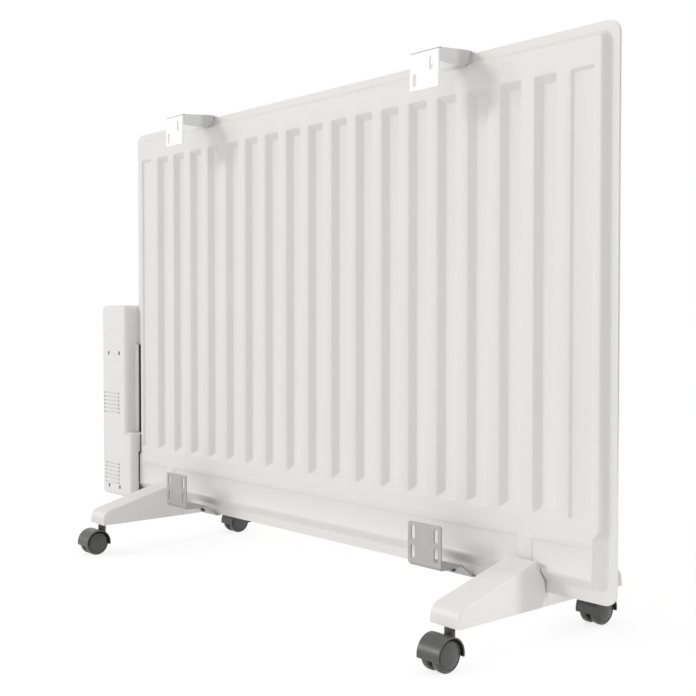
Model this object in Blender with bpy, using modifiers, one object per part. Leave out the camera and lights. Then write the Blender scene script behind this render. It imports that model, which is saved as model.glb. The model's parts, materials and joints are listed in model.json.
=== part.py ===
"""An oil-filled panel radiator on two feet and four twin-wheel casters, as its separate pieces.

Metres, +Z up, standing on z = 0, with the origin on the floor under the middle of its box.
The room side faces -Y, the wall side with the four brackets faces +Y, and the control box
is at the +X end. Left and right are as seen from the room.
"""
import math

import bmesh
import bpy
from mathutils import Matrix

# clearances and cutting
GAP = 0.0003
PLAY = 0.0005
OVERRUN = 0.002

# the panel: two pressed sheets, seam-welded round their edge, holding the oil
PANEL_WIDTH = 0.985
PANEL_HEIGHT = 0.624
PANEL_BOTTOM = 0.063
PANEL_CORNER_RADIUS = 0.015
SHEET = 0.0012
SEAM_GAP = 0.0005
FLANGE = 0.010
FLANGE_BOTTOM = 0.0135
FLANGE_BOX_END = 0.0165
WALL_RUN = 0.006
WALL_RUN_BOTTOM = 0.0115
FIELD_RISE = 0.0095
FIELD_CORNER_RADIUS = 0.011
INLET_BULGE = 0.010
INLET_HIGH = 0.078
INLET_STEP = 0.006
END_NOTCH = 0.009
NOTCH_HIGH = 0.0695
NOTCH_STEP = 0.0105

# the channels pressed back into each sheet
CHANNEL_COUNT = 17
CHANNEL_PITCH = 0.050
CHANNEL_SHIFT = -0.0025
CHANNEL_WIDTH = 0.0327
CHANNEL_WALL = 0.0088
CHANNEL_DEPTH = 0.008
CHANNEL_LOW = 0.088
CHANNEL_HIGH = 0.046
CHANNEL_CORNER_RADIUS = 0.004
TROUGH_STEPS = 2
SHALLOW_DEPTH = 0.003
SHALLOW_WALL = 0.0035
POCKET_TOP = 0.061
POCKET_BOTTOM = 0.028
POCKET_DEPTH = 0.0014
POCKET_WALL = 0.002
SIDE_POCKET_MARGIN = 0.0265
SIDE_POCKET_WIDTH = 0.081
POCKET_SPACE = 0.018

# the heating element, a hairpin in the bottom header
ELEMENT_RADIUS = 0.003
ELEMENT_SPREAD = 0.0084
ELEMENT_HEIGHT = 0.043
ELEMENT_REACH = 0.640
PLUG_RADIUS = 0.0085
PLUG_INSET = 0.022
HEX_RADIUS = 0.0125
HEX_LENGTH = 0.008
HEX_SIDES = 6
PIN_RADIUS = 0.0018
PIN_LENGTH = 0.012

# the feet
FOOT_INSET = 0.1145
FOOT_WIDTH = 0.043
FOOT_HALF_LENGTH = 0.1447
FOOT_UNDERSIDE = 0.0466
FOOT_TOE_HEIGHT = 0.0194
FOOT_TOP = 0.1007
FOOT_SHOULDER = 0.004
FOOT_WALL = 0.003
FOOT_SEAM = 0.0006
FOOT_EDGE_RADIUS = 0.002
FOOT_TOE_RADIUS = 0.013
FOOT_BLOCK = 0.024
FOOT_RIB = 0.004
FOOT_CLAMP_WALL = 0.007
FOOT_SETBACK = 0.0025

# the bolt and nut that draw a foot's halves together
BOLT_RADIUS = 0.0025
BOLT_HEAD_RADIUS = 0.0044
BOLT_HEAD = 0.0035
BOLT_RISE = 0.008
BOLT_TIP = 0.003
NUT_LENGTH = 0.004

# the casters
STEM_INSET = 0.0081
TRAIL = 0.0137
WHEEL_RADIUS = 0.0187
WHEEL_TREAD = 0.0108
WHEEL_EDGE = 0.0009
WHEEL_CAP_RADIUS = 0.0168
WHEEL_CAP_RISE = 0.0016
WHEEL_CAP_GROOVE = 0.0009
WHEEL_BORE_FLOOR = 0.0016
WHEEL_STEPS = 20
HOOD_RADIUS = 0.0204
HOOD_WALL = 0.001
HOOD_HALF_WIDTH = 0.0157
HOOD_DROP = 0.0035
HOOD_STEPS = 28
WEB_THICKNESS = 0.005
HUB_RADIUS = 0.0055
BOSS_RADIUS = 0.0056
BOSS_FLOOR = 0.0012
STEM_RADIUS = 0.0038
STEM_COLLAR_RADIUS = 0.0052
STEM_COLLAR = 0.0006
STEM_DEPTH = 0.017
STEM_CHAMFER = 0.0006
AXLE_RADIUS = 0.002
ROUND_STEPS = 16

# the control box
BOX_GAP = 0.0023
BOX_WIDTH = 0.083
BOX_BOTTOM = 0.0605
BOX_HEIGHT = 0.334
BOX_REAR = 0.0273
BOX_FRONT = 0.033
BOX_WALL = 0.0022
BOX_CORNER_RADIUS = 0.008
BOX_EDGE_RADIUS = 0.007
BLOCK_HEIGHT = 0.1135
BLOCK_REACH = 0.016
SEAL_HEIGHT = 0.0022
SEAL_TUCK = 0.001
SEAL_SHOW = 0.0035
MIDDLE_SEAL_SHOW = 0.0004
LIP_DROP = 0.068
LIP_REACH = 0.0048
LIP_THICKNESS = 0.0015
LIP_SLOPE = 0.003
VENT_COUNT = 6
VENT_PITCH = 0.0067
VENT_SLOT = 0.0022
VENT_DEPTH = 0.001
VENT_LENGTH = 0.050
VENT_HOLE = 0.005
VENT_MARGIN = 0.021
VENT_UPPER_DROP = 0.154
VENT_LOWER_RISE = 0.056

# the box's four screws
SCREW_RADIUS = 0.0017
SCREW_HEAD_RADIUS = 0.0031
SCREW_HEAD = 0.002
SCREW_LENGTH = 0.030
SCREW_WELL_RADIUS = 0.0036
SCREW_WELL = 0.0045
SCREW_BOSS_RADIUS = 0.0052
SCREW_SPACING = 0.0366
SCREW_MARGIN = 0.0213
SCREW_RISE = 0.016
SCREW_DROP = 0.0835
SCREW_BOSS_GAP = 0.0006

# the parts inside the control box
CHASSIS_THICKNESS = 0.0012
CHASSIS_DROP = 0.0135
CHASSIS_HEIGHT = 0.2183
THERMOSTAT_SIZE = 0.026
THERMOSTAT_DEPTH = 0.022
KNOB_DROP = 0.050
KNOB_RADIUS = 0.017
KNOB_HEIGHT = 0.014
KNOB_DRAFT = 0.0015
KNOB_EDGE = 0.0012
KNOB_GAP = 0.0006
KNOB_SHAFT_RADIUS = 0.003
KNOB_SHAFT_INSIDE = 0.009
KNOB_MARK_WIDTH = 0.0018
KNOB_MARK_DEPTH = 0.0006
SWITCH_DROP = 0.102
SWITCH_PITCH = 0.034
SWITCH_WIDTH = 0.013
SWITCH_HEIGHT = 0.0186
SWITCH_BACK = 0.006
SWITCH_FACE = 0.0042
SWITCH_DISH = 0.0012
SWITCH_FRAME = 0.0022
SWITCH_PROUD = 0.0012
SWITCH_TILT = 7.0
SWITCH_PLAY = 0.0006
CELL_DEPTH = 0.014
CUTOUT_RADIUS = 0.008
CUTOUT_DEPTH = 0.006
CUTOUT_DROP = 0.064
TIP_WIDTH = 0.016
TIP_HEIGHT = 0.030
TIP_DEPTH = 0.014
TIP_DROP = 0.204
TERMINAL_WIDTH = 0.034
TERMINAL_HEIGHT = 0.016
TERMINAL_DEPTH = 0.012
TERMINAL_DROP = 0.144
TERMINAL_SCREW_RADIUS = 0.0026
TERMINAL_SCREW_DEPTH = 0.0012
GLAND_RADIUS = 0.0075
GLAND_BORE = 0.0036
GLAND_FLANGE = 0.0018
GLAND_LENGTH = 0.008
GLAND_FLANGE_RADIUS = 0.0095

# the wall brackets
BRACKET_INSET = 0.2222
WALL_PLANE = 0.0665
STEEL = 0.002
TOP_PLATE_WIDTH = 0.0465
TOP_PLATE_HEIGHT = 0.044
TOP_PLATE_DROP = 0.0045
TOP_BRACKET_SHIFT = 0.0018
TOP_WEB_HEIGHT = 0.0145
TOP_WEB_CLEARANCE = 0.005
TOP_HOOK_WIDTH = 0.036
TOP_HOOK_REACH = 0.012
TOP_LIP_CLEARANCE = 0.0008
TOP_SLOT_WIDTH = 0.0055
TOP_SLOT_LENGTH = 0.0152
TOP_SLOT_SPREAD = 0.0267
TOP_SLOT_SHIFT = 0.0019
TOP_SLOT_RISE = 0.0164
TOP_SLOT_DROP = 0.0017
LOW_PLATE_WIDTH = 0.0545
LOW_PLATE_HEIGHT = 0.0480
LOW_PLATE_RISE = 0.0192
LOW_ARM_WIDTH = 0.050
LOW_ARM_RISE = 0.0152
LOW_ARM_BEND = 0.004
LOW_ARM_INNER = 0.0275
LOW_HOOK_OUTER = 0.0055
LOW_HOOK_WIDTH = 0.044
LOW_HOOK_LIP = 0.009
LOW_CORNER_RADIUS = 0.0035
LOW_SLOT_WIDTH = 0.0065
LOW_SLOT_LENGTH = 0.017
LOW_SLOT_SPREAD = 0.038
LOW_SLOT_PITCH = 0.0229
LOW_SCREW_RADIUS = 0.002
LOW_SCREW_HEAD_RADIUS = 0.004
LOW_SCREW_HEAD = 0.003
LOW_SCREW_TIP = 0.004

# smoothness of round shapes
CORNER_STEPS = 3
SLOT_STEPS = 4
SMOOTH_ANGLE = math.radians(35)

# places that follow from the sizes
FLANGE_FACE = SEAM_GAP / 2 + SHEET
FIELD_FACE = FLANGE_FACE + FIELD_RISE
PANEL_TOP = PANEL_BOTTOM + PANEL_HEIGHT
PANEL_END = PANEL_WIDTH / 2
SIDE_POCKET_END = PANEL_END - SIDE_POCKET_MARGIN
SIDE_POCKET_START = SIDE_POCKET_END - SIDE_POCKET_WIDTH
POCKET_HALF_WIDTH = SIDE_POCKET_START - POCKET_SPACE
AXLE_HEIGHT = WHEEL_RADIUS
AXLE_HALF_LENGTH = HOOD_HALF_WIDTH - 2 * WHEEL_BORE_FLOOR
BOSS_TOP = FOOT_UNDERSIDE - STEM_COLLAR - 2 * GAP
BOX_INNER = PANEL_END + BOX_GAP
BOX_OUTER = BOX_INNER + BOX_WIDTH
BOX_TOP = BOX_BOTTOM + BOX_HEIGHT
BLOCK_TOP = BOX_BOTTOM + BLOCK_HEIGHT
BLOCK_FACE = PANEL_END - BLOCK_REACH
ELEMENT_LEVEL = PANEL_BOTTOM + ELEMENT_HEIGHT
CHASSIS_MIDDLE = (BOX_INNER + BOX_OUTER) / 2
FOOT_SPACING = PANEL_WIDTH - 2 * FOOT_INSET
BRACKET_SPACING = PANEL_WIDTH - 2 * BRACKET_INSET
STEM_SPACING = 2 * (FOOT_HALF_LENGTH - STEM_INSET)
REAR_REACH = STEM_SPACING / 2 + TRAIL + HOOD_RADIUS
SHIFT_X = (PANEL_END - BOX_OUTER) / 2
SHIFT_Y = (FOOT_HALF_LENGTH - REAR_REACH) / 2

# how an outline lies: across (x, z), along (y, z) or flat (x, y)
ACROSS = Matrix(((1, 0, 0, 0), (0, 0, -1, 0), (0, 1, 0, 0), (0, 0, 0, 1)))
ALONG = Matrix(((0, 0, 1, 0), (1, 0, 0, 0), (0, 1, 0, 0), (0, 0, 0, 1)))
FLAT = Matrix.Identity(4)

WHITE = (0.80, 0.79, 0.77)
SHELL_WHITE = (0.83, 0.82, 0.80)
BRACKET_WHITE = (0.88, 0.88, 0.88)
BRACKET_GREY = (0.42, 0.41, 0.40)
CASTER_GREY = (0.055, 0.055, 0.055)
BLACK = (0.015, 0.015, 0.015)
STEEL_GREY = (0.45, 0.45, 0.46)
BRASS = (0.60, 0.45, 0.18)
INNER_CREAM = (0.70, 0.66, 0.55)

# roughness and metallic value of each kind of surface
ENAMEL = (0.38, 0.0)
MOULDED = (0.45, 0.0)
GLOSSY = (0.28, 0.0)
SOFT_RUBBER = (0.8, 0.0)
PLATED = (0.32, 1.0)


def clear_scene():
    """Removes whatever the file holds."""
    for thing in list(bpy.data.objects):
        bpy.data.objects.remove(thing, do_unlink=True)


def collection(name):
    """A new collection in the scene."""
    made = bpy.data.collections.new(name)
    bpy.context.scene.collection.children.link(made)
    return made


def finish(name, colour, surface):
    """A plain material of one piece."""
    made = bpy.data.materials.new(name)
    made.use_nodes = True
    shader = made.node_tree.nodes["Principled BSDF"]
    shader.inputs["Base Color"].default_value = (*colour, 1)
    shader.inputs["Roughness"].default_value = surface[0]
    shader.inputs["Metallic"].default_value = surface[1]
    return made


def group(name, location=(0, 0, 0), parent=None):
    """An empty that carries pieces, on their joint's axis where they move."""
    holder = bpy.data.objects.new(name, None)
    PIECES.objects.link(holder)
    holder.parent = parent
    holder.location = location
    return holder


def piece(name, mesh, colour, surface, parent, location=(0, 0, 0)):
    """A named piece of the radiator."""
    made = bpy.data.objects.new(name, mesh)
    PIECES.objects.link(made)
    made.parent = parent
    made.location = location
    made.data.materials.append(finish(name, colour, surface))
    return made


def helper(name, mesh, parent, location=(0, 0, 0)):
    """A cutter or an addition, which isn't a piece itself."""
    made = bpy.data.objects.new(name, mesh)
    CUTTERS.objects.link(made)
    made.parent = parent
    made.location = location
    made.hide_render = True
    made.display_type = "WIRE"
    return made


def boolean(target, other, operation):
    """Cuts a helper from a piece, or adds it."""
    modifier = target.modifiers.new(other.name, "BOOLEAN")
    modifier.operation = operation
    modifier.object = other


def mesh_from(name, bm):
    """Turns a closed bmesh into a mesh with its faces pointing out."""
    bmesh.ops.recalc_face_normals(bm, faces=bm.faces)
    mesh = bpy.data.meshes.new(name)
    bm.to_mesh(mesh)
    bm.free()
    return mesh


def smooth(mesh):
    """Shades a round mesh smooth, and keeps its corners sharp."""
    mesh.shade_smooth()
    mesh.set_sharp_from_angle(angle=SMOOTH_ANGLE)
    return mesh


def block_mesh(name, low, high):
    """A box from its lowest to its highest corner."""
    bm = bmesh.new()
    bmesh.ops.create_cube(bm, size=1)
    size = [b - a for a, b in zip(low, high)]
    middle = [(a + b) / 2 for a, b in zip(low, high)]
    bmesh.ops.scale(bm, vec=size, verts=bm.verts)
    bmesh.ops.translate(bm, vec=middle, verts=bm.verts)
    return mesh_from(name, bm)


def rod_mesh(name, radius, start, end, axis="Z", place=(0, 0), sides=ROUND_STEPS, tip_radius=None):
    """A rod or cone along an axis, from start to end; place is its middle on the other two axes."""
    bm = bmesh.new()
    bmesh.ops.create_cone(bm, cap_ends=True, segments=sides, radius1=radius,
                          radius2=radius if tip_radius is None else tip_radius, depth=end - start)
    bmesh.ops.translate(bm, vec=(0, 0, (start + end) / 2), verts=bm.verts)
    if axis == "X":
        turn, offset = ALONG, (0, place[0], place[1])
    elif axis == "Y":
        turn, offset = ACROSS @ Matrix.Scale(-1, 4, (0, 0, 1)), (place[0], 0, place[1])
    else:
        turn, offset = FLAT, (place[0], place[1], 0)
    bmesh.ops.transform(bm, matrix=turn, verts=bm.verts)
    bmesh.ops.translate(bm, vec=offset, verts=bm.verts)
    return smooth(mesh_from(name, bm))


def outline_mesh(name, points, depth, lie, middle=0.0):
    """A closed outline extruded to a depth, centred on middle along the third direction."""
    curve = bpy.data.curves.new(name, "CURVE")
    curve.dimensions = "2D"
    curve.fill_mode = "BOTH"
    curve.extrude = depth / 2
    spline = curve.splines.new("POLY")
    spline.points.add(len(points) - 1)
    for slot, (a, b) in zip(spline.points, points):
        slot.co = (a, b, 0, 1)
    spline.use_cyclic_u = True
    drawn = bpy.data.objects.new(name, curve)
    bpy.context.scene.collection.objects.link(drawn)
    graph = bpy.context.evaluated_depsgraph_get()
    mesh = bpy.data.meshes.new_from_object(drawn.evaluated_get(graph))
    bpy.data.objects.remove(drawn, do_unlink=True)
    bpy.data.curves.remove(curve)
    bm = bmesh.new()
    bm.from_mesh(mesh)
    bpy.data.meshes.remove(mesh)
    bmesh.ops.remove_doubles(bm, verts=bm.verts, dist=GAP / 100)
    bmesh.ops.dissolve_limit(bm, angle_limit=math.radians(1), verts=bm.verts, edges=bm.edges)
    bmesh.ops.transform(bm, matrix=lie @ Matrix.Translation((0, 0, middle)), verts=bm.verts)
    return mesh_from(name, bm)


def turned(name, profile, colour, surface, parent, location, steps, side=None):
    """A turned piece: a profile of (radius, height) points, top to bottom, swept round its axis."""
    bm = bmesh.new()
    points = [bm.verts.new((radius, 0, height)) for radius, height in profile]
    for a, b in zip(points, points[1:]):
        bm.edges.new((a, b))
    mesh = bpy.data.meshes.new(name)
    bm.to_mesh(mesh)
    bm.free()
    made = piece(name, mesh, colour, surface, parent, location)
    screw = made.modifiers.new("turn", "SCREW")
    screw.axis = "Z"
    screw.angle = math.tau
    screw.steps = steps
    screw.render_steps = steps
    screw.use_merge_vertices = True
    screw.merge_threshold = GAP / 100
    screw.use_smooth_shade = False
    if side is not None:
        made.rotation_euler = (0, side * math.pi / 2, 0)
    return made


def arc(middle, radius, start, end, steps):
    """Points of an arc, in degrees."""
    angles = [math.radians(start + (end - start) * step / steps) for step in range(steps + 1)]
    return [(middle[0] + radius * math.cos(a), middle[1] + radius * math.sin(a)) for a in angles]


def rounded(corners, radii, steps=CORNER_STEPS):
    """An outline whose corners are rounded, each with its own radius; 0 leaves one sharp."""
    points = []
    count = len(corners)
    for i, (corner, radius) in enumerate(zip(corners, radii)):
        if not radius:
            points.append(corner)
            continue
        before, after = corners[i - 1], corners[(i + 1) % count]
        into = unit(before, corner)
        out = unit(corner, after)
        turn = math.atan2(into[0] * out[1] - into[1] * out[0], into[0] * out[0] + into[1] * out[1])
        reach = radius * math.tan(abs(turn) / 2)
        start = (corner[0] - into[0] * reach, corner[1] - into[1] * reach)
        side = math.copysign(radius, turn)
        middle = (start[0] - into[1] * side, start[1] + into[0] * side)
        first = math.atan2(start[1] - middle[1], start[0] - middle[0])
        for step in range(steps + 1):
            a = first + turn * step / steps
            points.append((middle[0] + radius * math.cos(a), middle[1] + radius * math.sin(a)))
    return points


def unit(a, b):
    """The direction from a to b."""
    length = math.hypot(b[0] - a[0], b[1] - a[1])
    return (b[0] - a[0]) / length, (b[1] - a[1]) / length


def inset(corners, margin):
    """An anticlockwise outline moved inwards by a margin."""
    moved = []
    count = len(corners)
    for i, corner in enumerate(corners):
        into = unit(corners[i - 1], corner)
        out = unit(corner, corners[(i + 1) % count])
        turn = into[0] * out[1] - into[1] * out[0]
        slip = (1 - into[0] * out[0] - into[1] * out[1]) / turn
        moved.append((corner[0] - margin * into[1] - margin * into[0] * slip,
                      corner[1] + margin * into[0] - margin * into[1] * slip))
    return moved


def rectangle(x0, x1, z0, z1):
    """The corners of a rectangle, anticlockwise."""
    return [(x0, z0), (x1, z0), (x1, z1), (x0, z1)]


def slot_outline(middle, width, length):
    """An upright slot with round ends."""
    reach = (length - width) / 2
    upper = arc((middle[0], middle[1] + reach), width / 2, 0, 180, SLOT_STEPS)
    lower = arc((middle[0], middle[1] - reach), width / 2, 180, 360, SLOT_STEPS)
    return upper + lower


def even_shading(made):
    """Keeps a moulding's flat faces flat in its shading, between rounded edges."""
    made.modifiers.new("even shading", "WEIGHTED_NORMAL").keep_sharp = True


def round_edges(mesh, radius, steps, chosen):
    """Rounds the edges of a mesh for which chosen(a, b) is true of their ends."""
    bm = bmesh.new()
    bm.from_mesh(mesh)
    edges = [edge for edge in bm.edges if chosen(edge.verts[0].co, edge.verts[1].co)]
    bmesh.ops.bevel(bm, geom=edges, offset=radius, segments=steps, affect="EDGES", profile=0.5)
    bmesh.ops.recalc_face_normals(bm, faces=bm.faces)
    bm.to_mesh(mesh)
    bm.free()
    return mesh


def ring(bm, corners, radii, level, steps=CORNER_STEPS):
    """A rounded outline of edges in the sheet; returns its points and edges."""
    points = [bm.verts.new((x, level, z)) for x, z in rounded(corners, radii, steps)]
    edges = [bm.edges.new((a, b)) for a, b in zip(points, points[1:] + points[:1])]
    return points, edges


def pressed(bm, corners, depth, wall, radius, side):
    """A trough pressed back into the sheet; returns the edges of its rim."""
    rim = ring(bm, corners, [radius] * len(corners), side * FIELD_FACE, TROUGH_STEPS)[1]
    floor_corners = inset(corners, wall)
    floor_radii = [radius / 2] * len(corners)
    floor_points, floor = ring(bm, floor_corners, floor_radii, side * (FIELD_FACE - depth), TROUGH_STEPS)
    bmesh.ops.bridge_loops(bm, edges=rim + floor)
    bm.faces.new(floor_points)
    return rim


def dish_outline(run, notch):
    """The dish's outline, run in from its foot: it bulges at the inlet, and notch draws it in opposite."""
    left = -PANEL_END + FLANGE + run
    right = PANEL_END - FLANGE_BOX_END - run
    low = PANEL_BOTTOM + FLANGE_BOTTOM + run * WALL_RUN_BOTTOM / WALL_RUN
    high = PANEL_TOP - FLANGE - run
    inlet = PANEL_BOTTOM + INLET_HIGH
    drawn = PANEL_BOTTOM + NOTCH_HIGH
    return [(left + notch, low), (right + INLET_BULGE, low), (right + INLET_BULGE, inlet - INLET_STEP),
            (right, inlet), (right, high), (left, high), (left, drawn + NOTCH_STEP), (left + notch, drawn)]


def dish_radii(radius):
    """The radius of each of the dish outline's corners."""
    return [radius, radius, 0, 0, radius, radius, 0, 0]


def panel_sheet(name, side, parent):
    """One pressed sheet of the panel: flange, sloping wall, and a field with its channels."""
    bm = bmesh.new()
    edge = rectangle(-PANEL_END, PANEL_END, PANEL_BOTTOM, PANEL_TOP)
    outer = ring(bm, edge, [PANEL_CORNER_RADIUS] * len(edge), side * FLANGE_FACE)[1]
    foot = ring(bm, dish_outline(0, 0), dish_radii(FIELD_CORNER_RADIUS), side * FLANGE_FACE)[1]
    top = ring(bm, dish_outline(WALL_RUN, END_NOTCH), dish_radii(FIELD_CORNER_RADIUS - WALL_RUN),
               side * FIELD_FACE)[1]
    bmesh.ops.triangle_fill(bm, use_beauty=True, use_dissolve=False, edges=outer + foot)
    bmesh.ops.bridge_loops(bm, edges=foot + top)
    rims = list(top)
    last = (CHANNEL_COUNT + 1) / 2
    for index in range(CHANNEL_COUNT + 2):
        x = (index - last) * CHANNEL_PITCH + CHANNEL_SHIFT
        corners = rectangle(x - CHANNEL_WIDTH / 2, x + CHANNEL_WIDTH / 2,
                            PANEL_BOTTOM + CHANNEL_LOW, PANEL_TOP - CHANNEL_HIGH)
        at_end = index in (0, CHANNEL_COUNT + 1)
        depth, wall = (SHALLOW_DEPTH, SHALLOW_WALL) if at_end else (CHANNEL_DEPTH, CHANNEL_WALL)
        rims += pressed(bm, corners, depth, wall, CHANNEL_CORNER_RADIUS, side)
    for x0, x1 in ((-SIDE_POCKET_END, -SIDE_POCKET_START), (-POCKET_HALF_WIDTH, POCKET_HALF_WIDTH),
                   (SIDE_POCKET_START, SIDE_POCKET_END)):
        corners = rectangle(x0, x1, PANEL_BOTTOM + POCKET_BOTTOM, PANEL_BOTTOM + POCKET_TOP)
        rims += pressed(bm, corners, POCKET_DEPTH, POCKET_WALL, POCKET_WALL, side)
    bmesh.ops.triangle_fill(bm, use_beauty=True, use_dissolve=False, edges=rims)
    bmesh.ops.recalc_face_normals(bm, faces=bm.faces)
    if side * sum(face.normal.y * face.calc_area() for face in bm.faces) < 0:
        bmesh.ops.reverse_faces(bm, faces=bm.faces)
    mesh = bpy.data.meshes.new(name)
    bm.to_mesh(mesh)
    bm.free()
    sheet = piece(name, mesh, WHITE, ENAMEL, parent)
    skin = sheet.modifiers.new("sheet metal", "SOLIDIFY")
    skin.thickness = SHEET
    skin.offset = -1
    skin.use_even_offset = True
    boolean(sheet, PLUG_HOLE, "DIFFERENCE")
    return sheet


def plug_hole(parent):
    """The cut through both sheets' edges that the element's plug sits in."""
    mesh = rod_mesh("plug_hole", PLUG_RADIUS + GAP, PANEL_END - PLUG_INSET - GAP, PANEL_END + OVERRUN,
                    "X", (0, ELEMENT_LEVEL))
    return helper("plug_hole", mesh, parent)


def element(parent):
    """The hairpin heating element and the threaded plug that carries it."""
    half = ELEMENT_SPREAD / 2
    start = PANEL_END - PLUG_INSET - GAP
    bend = start - ELEMENT_REACH
    turn = arc((bend, ELEMENT_LEVEL), half, 90, 270, 2 * SLOT_STEPS)
    path = [(start, ELEMENT_LEVEL + half)] + turn + [(start, ELEMENT_LEVEL - half)]
    curve = bpy.data.curves.new("heating_element", "CURVE")
    curve.dimensions = "3D"
    curve.bevel_depth = ELEMENT_RADIUS
    curve.bevel_resolution = 2
    curve.use_fill_caps = True
    spline = curve.splines.new("POLY")
    spline.points.add(len(path) - 1)
    for point, (x, z) in zip(spline.points, path):
        point.co = (x, 0, z, 1)
    piece("heating_element", curve, STEEL_GREY, PLATED, parent)

    plug = piece("element_plug",
                 rod_mesh("element_plug", PLUG_RADIUS, PANEL_END - PLUG_INSET, PANEL_END + 2 * GAP,
                          "X", (0, ELEMENT_LEVEL)), BRASS, PLATED, parent)
    head = PANEL_END + GAP
    hexagon = helper("plug_hexagon",
                     rod_mesh("plug_hexagon", HEX_RADIUS, head, head + HEX_LENGTH, "X",
                              (0, ELEMENT_LEVEL), HEX_SIDES), parent)
    boolean(plug, hexagon, "UNION")
    for side in (-1, 1):
        pin = helper("plug_pin",
                     rod_mesh("plug_pin", PIN_RADIUS, head + HEX_LENGTH / 2, head + HEX_LENGTH + PIN_LENGTH,
                              "X", (0, ELEMENT_LEVEL + side * half), 2 * SLOT_STEPS), parent)
        boolean(plug, pin, "UNION")


def foot_outline(lower, shrink):
    """A rear half foot's side: (y, z) points from the seam round the toe and along the panel."""
    toe_y = FOOT_HALF_LENGTH - shrink
    top = FOOT_TOP - shrink
    toe_z = FOOT_UNDERSIDE + FOOT_TOE_HEIGHT - shrink
    clear = FIELD_FACE + FOOT_SETBACK
    face = FLANGE_FACE + GAP
    wall_foot = PANEL_BOTTOM + FLANGE_BOTTOM
    wall_top = wall_foot + WALL_RUN_BOTTOM
    corners = [(FOOT_SEAM / 2, lower), (toe_y, lower), (toe_y, toe_z), (clear, top),
               (clear, wall_top), (face + FOOT_SETBACK, wall_foot),
               (face, PANEL_BOTTOM - 2 * GAP), (FOOT_SEAM / 2, PANEL_BOTTOM - 2 * GAP)]
    radii = [0, 0, FOOT_TOE_RADIUS, FOOT_SHOULDER, 0, 0, 0, 0]
    return rounded(corners, radii)


def foot_half(name, side, parent):
    """Half a foot: a hollow casting, with a block round the caster's stem and a rib across."""
    points = foot_outline(FOOT_UNDERSIDE, 0)
    mesh = outline_mesh(name, points, FOOT_WIDTH, ALONG)
    slope_start = FIELD_FACE + FOOT_SETBACK + GAP
    above = FOOT_UNDERSIDE + FOOT_TOE_HEIGHT / 2

    def upper_edge(a, b):
        flank = abs(abs(a.x) - FOOT_WIDTH / 2) < GAP and abs(a.x - b.x) < GAP
        return flank and min(a.y, b.y) > slope_start and max(a.z, b.z) > above

    round_edges(mesh, FOOT_EDGE_RADIUS, 2, upper_edge)
    if side < 0:
        mesh.transform(Matrix.Scale(-1, 4, (0, 1, 0)))
        mesh.flip_normals()
    half = piece(name, smooth(mesh), WHITE, MOULDED, parent)
    for part, cutter in enumerate(foot_cutters(side)):
        boolean(half, helper(f"{name}_cut_{part}", cutter, parent), "DIFFERENCE")
    even_shading(half)


def foot_cutters(side):
    """What is cut from a half foot: two hollows, the stem's bore and the bolt's hole."""
    inner = FOOT_CLAMP_WALL
    block = FOOT_HALF_LENGTH - FOOT_BLOCK
    middle = (inner + block) / 2
    rise = FOOT_TOP - FOOT_UNDERSIDE - FOOT_TOE_HEIGHT
    slope = rise / (FOOT_HALF_LENGTH - FIELD_FACE - FOOT_SETBACK)
    ends = ((inner, middle - FOOT_RIB / 2), (middle + FOOT_RIB / 2, block))
    cutters = []
    for y0, y1 in ends:
        roof = [FOOT_UNDERSIDE + FOOT_TOE_HEIGHT + slope * (FOOT_HALF_LENGTH - max(y, 2 * FIELD_FACE))
                - 2 * FOOT_WALL for y in (y0, y1)]
        near = max(y0, FIELD_FACE + FOOT_SETBACK + FOOT_WALL)
        floor = PANEL_BOTTOM - 2 * GAP - FOOT_WALL
        points = [(y0, FOOT_UNDERSIDE - OVERRUN), (y1, FOOT_UNDERSIDE - OVERRUN), (y1, roof[1]),
                  (near, roof[0])]
        if near > y0:
            points += [(near, floor), (y0, floor)]
        mesh = outline_mesh("hollow", [(side * y, z) for y, z in points], FOOT_WIDTH - 2 * FOOT_WALL, ALONG)
        cutters.append(mesh)
    cutters.append(rod_mesh("stem_bore", STEM_RADIUS + GAP, FOOT_UNDERSIDE - OVERRUN,
                            FOOT_UNDERSIDE + STEM_DEPTH + GAP, "Z", (0, side * STEM_SPACING / 2)))
    cutters.append(rod_mesh("bolt_hole", BOLT_RADIUS + GAP, -OVERRUN, FOOT_CLAMP_WALL + OVERRUN, "Y",
                            (0, FOOT_UNDERSIDE + BOLT_RISE)))
    if side < 0:
        cutters[-1].transform(Matrix.Scale(-1, 4, (0, 1, 0)))
        cutters[-1].flip_normals()
    return cutters


def foot(name, x, parent):
    """A foot: its two halves, and the bolt and nut between them."""
    holder = group(name, (x, 0, 0), parent)
    foot_half(f"{name}_rear_half", 1, holder)
    foot_half(f"{name}_front_half", -1, holder)
    level = FOOT_UNDERSIDE + BOLT_RISE
    end = FOOT_CLAMP_WALL + GAP
    bolt = piece(f"{name}_bolt",
                 rod_mesh("bolt", BOLT_RADIUS, -end - GAP, end + NUT_LENGTH + BOLT_TIP, "Y", (0, level)),
                 STEEL_GREY, PLATED, holder)
    head = helper(f"{name}_bolt_head",
                  rod_mesh("bolt_head", BOLT_HEAD_RADIUS, -end - BOLT_HEAD, -end, "Y", (0, level), HEX_SIDES),
                  holder)
    boolean(bolt, head, "UNION")
    nut = piece(f"{name}_nut",
                rod_mesh("nut", BOLT_HEAD_RADIUS, end, end + NUT_LENGTH, "Y", (0, level), HEX_SIDES),
                STEEL_GREY, PLATED, holder)
    bore = helper(f"{name}_nut_bore",
                  rod_mesh("nut_bore", BOLT_RADIUS + GAP, end - OVERRUN, end + NUT_LENGTH + OVERRUN, "Y",
                           (0, level)), holder)
    boolean(nut, bore, "DIFFERENCE")


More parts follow.
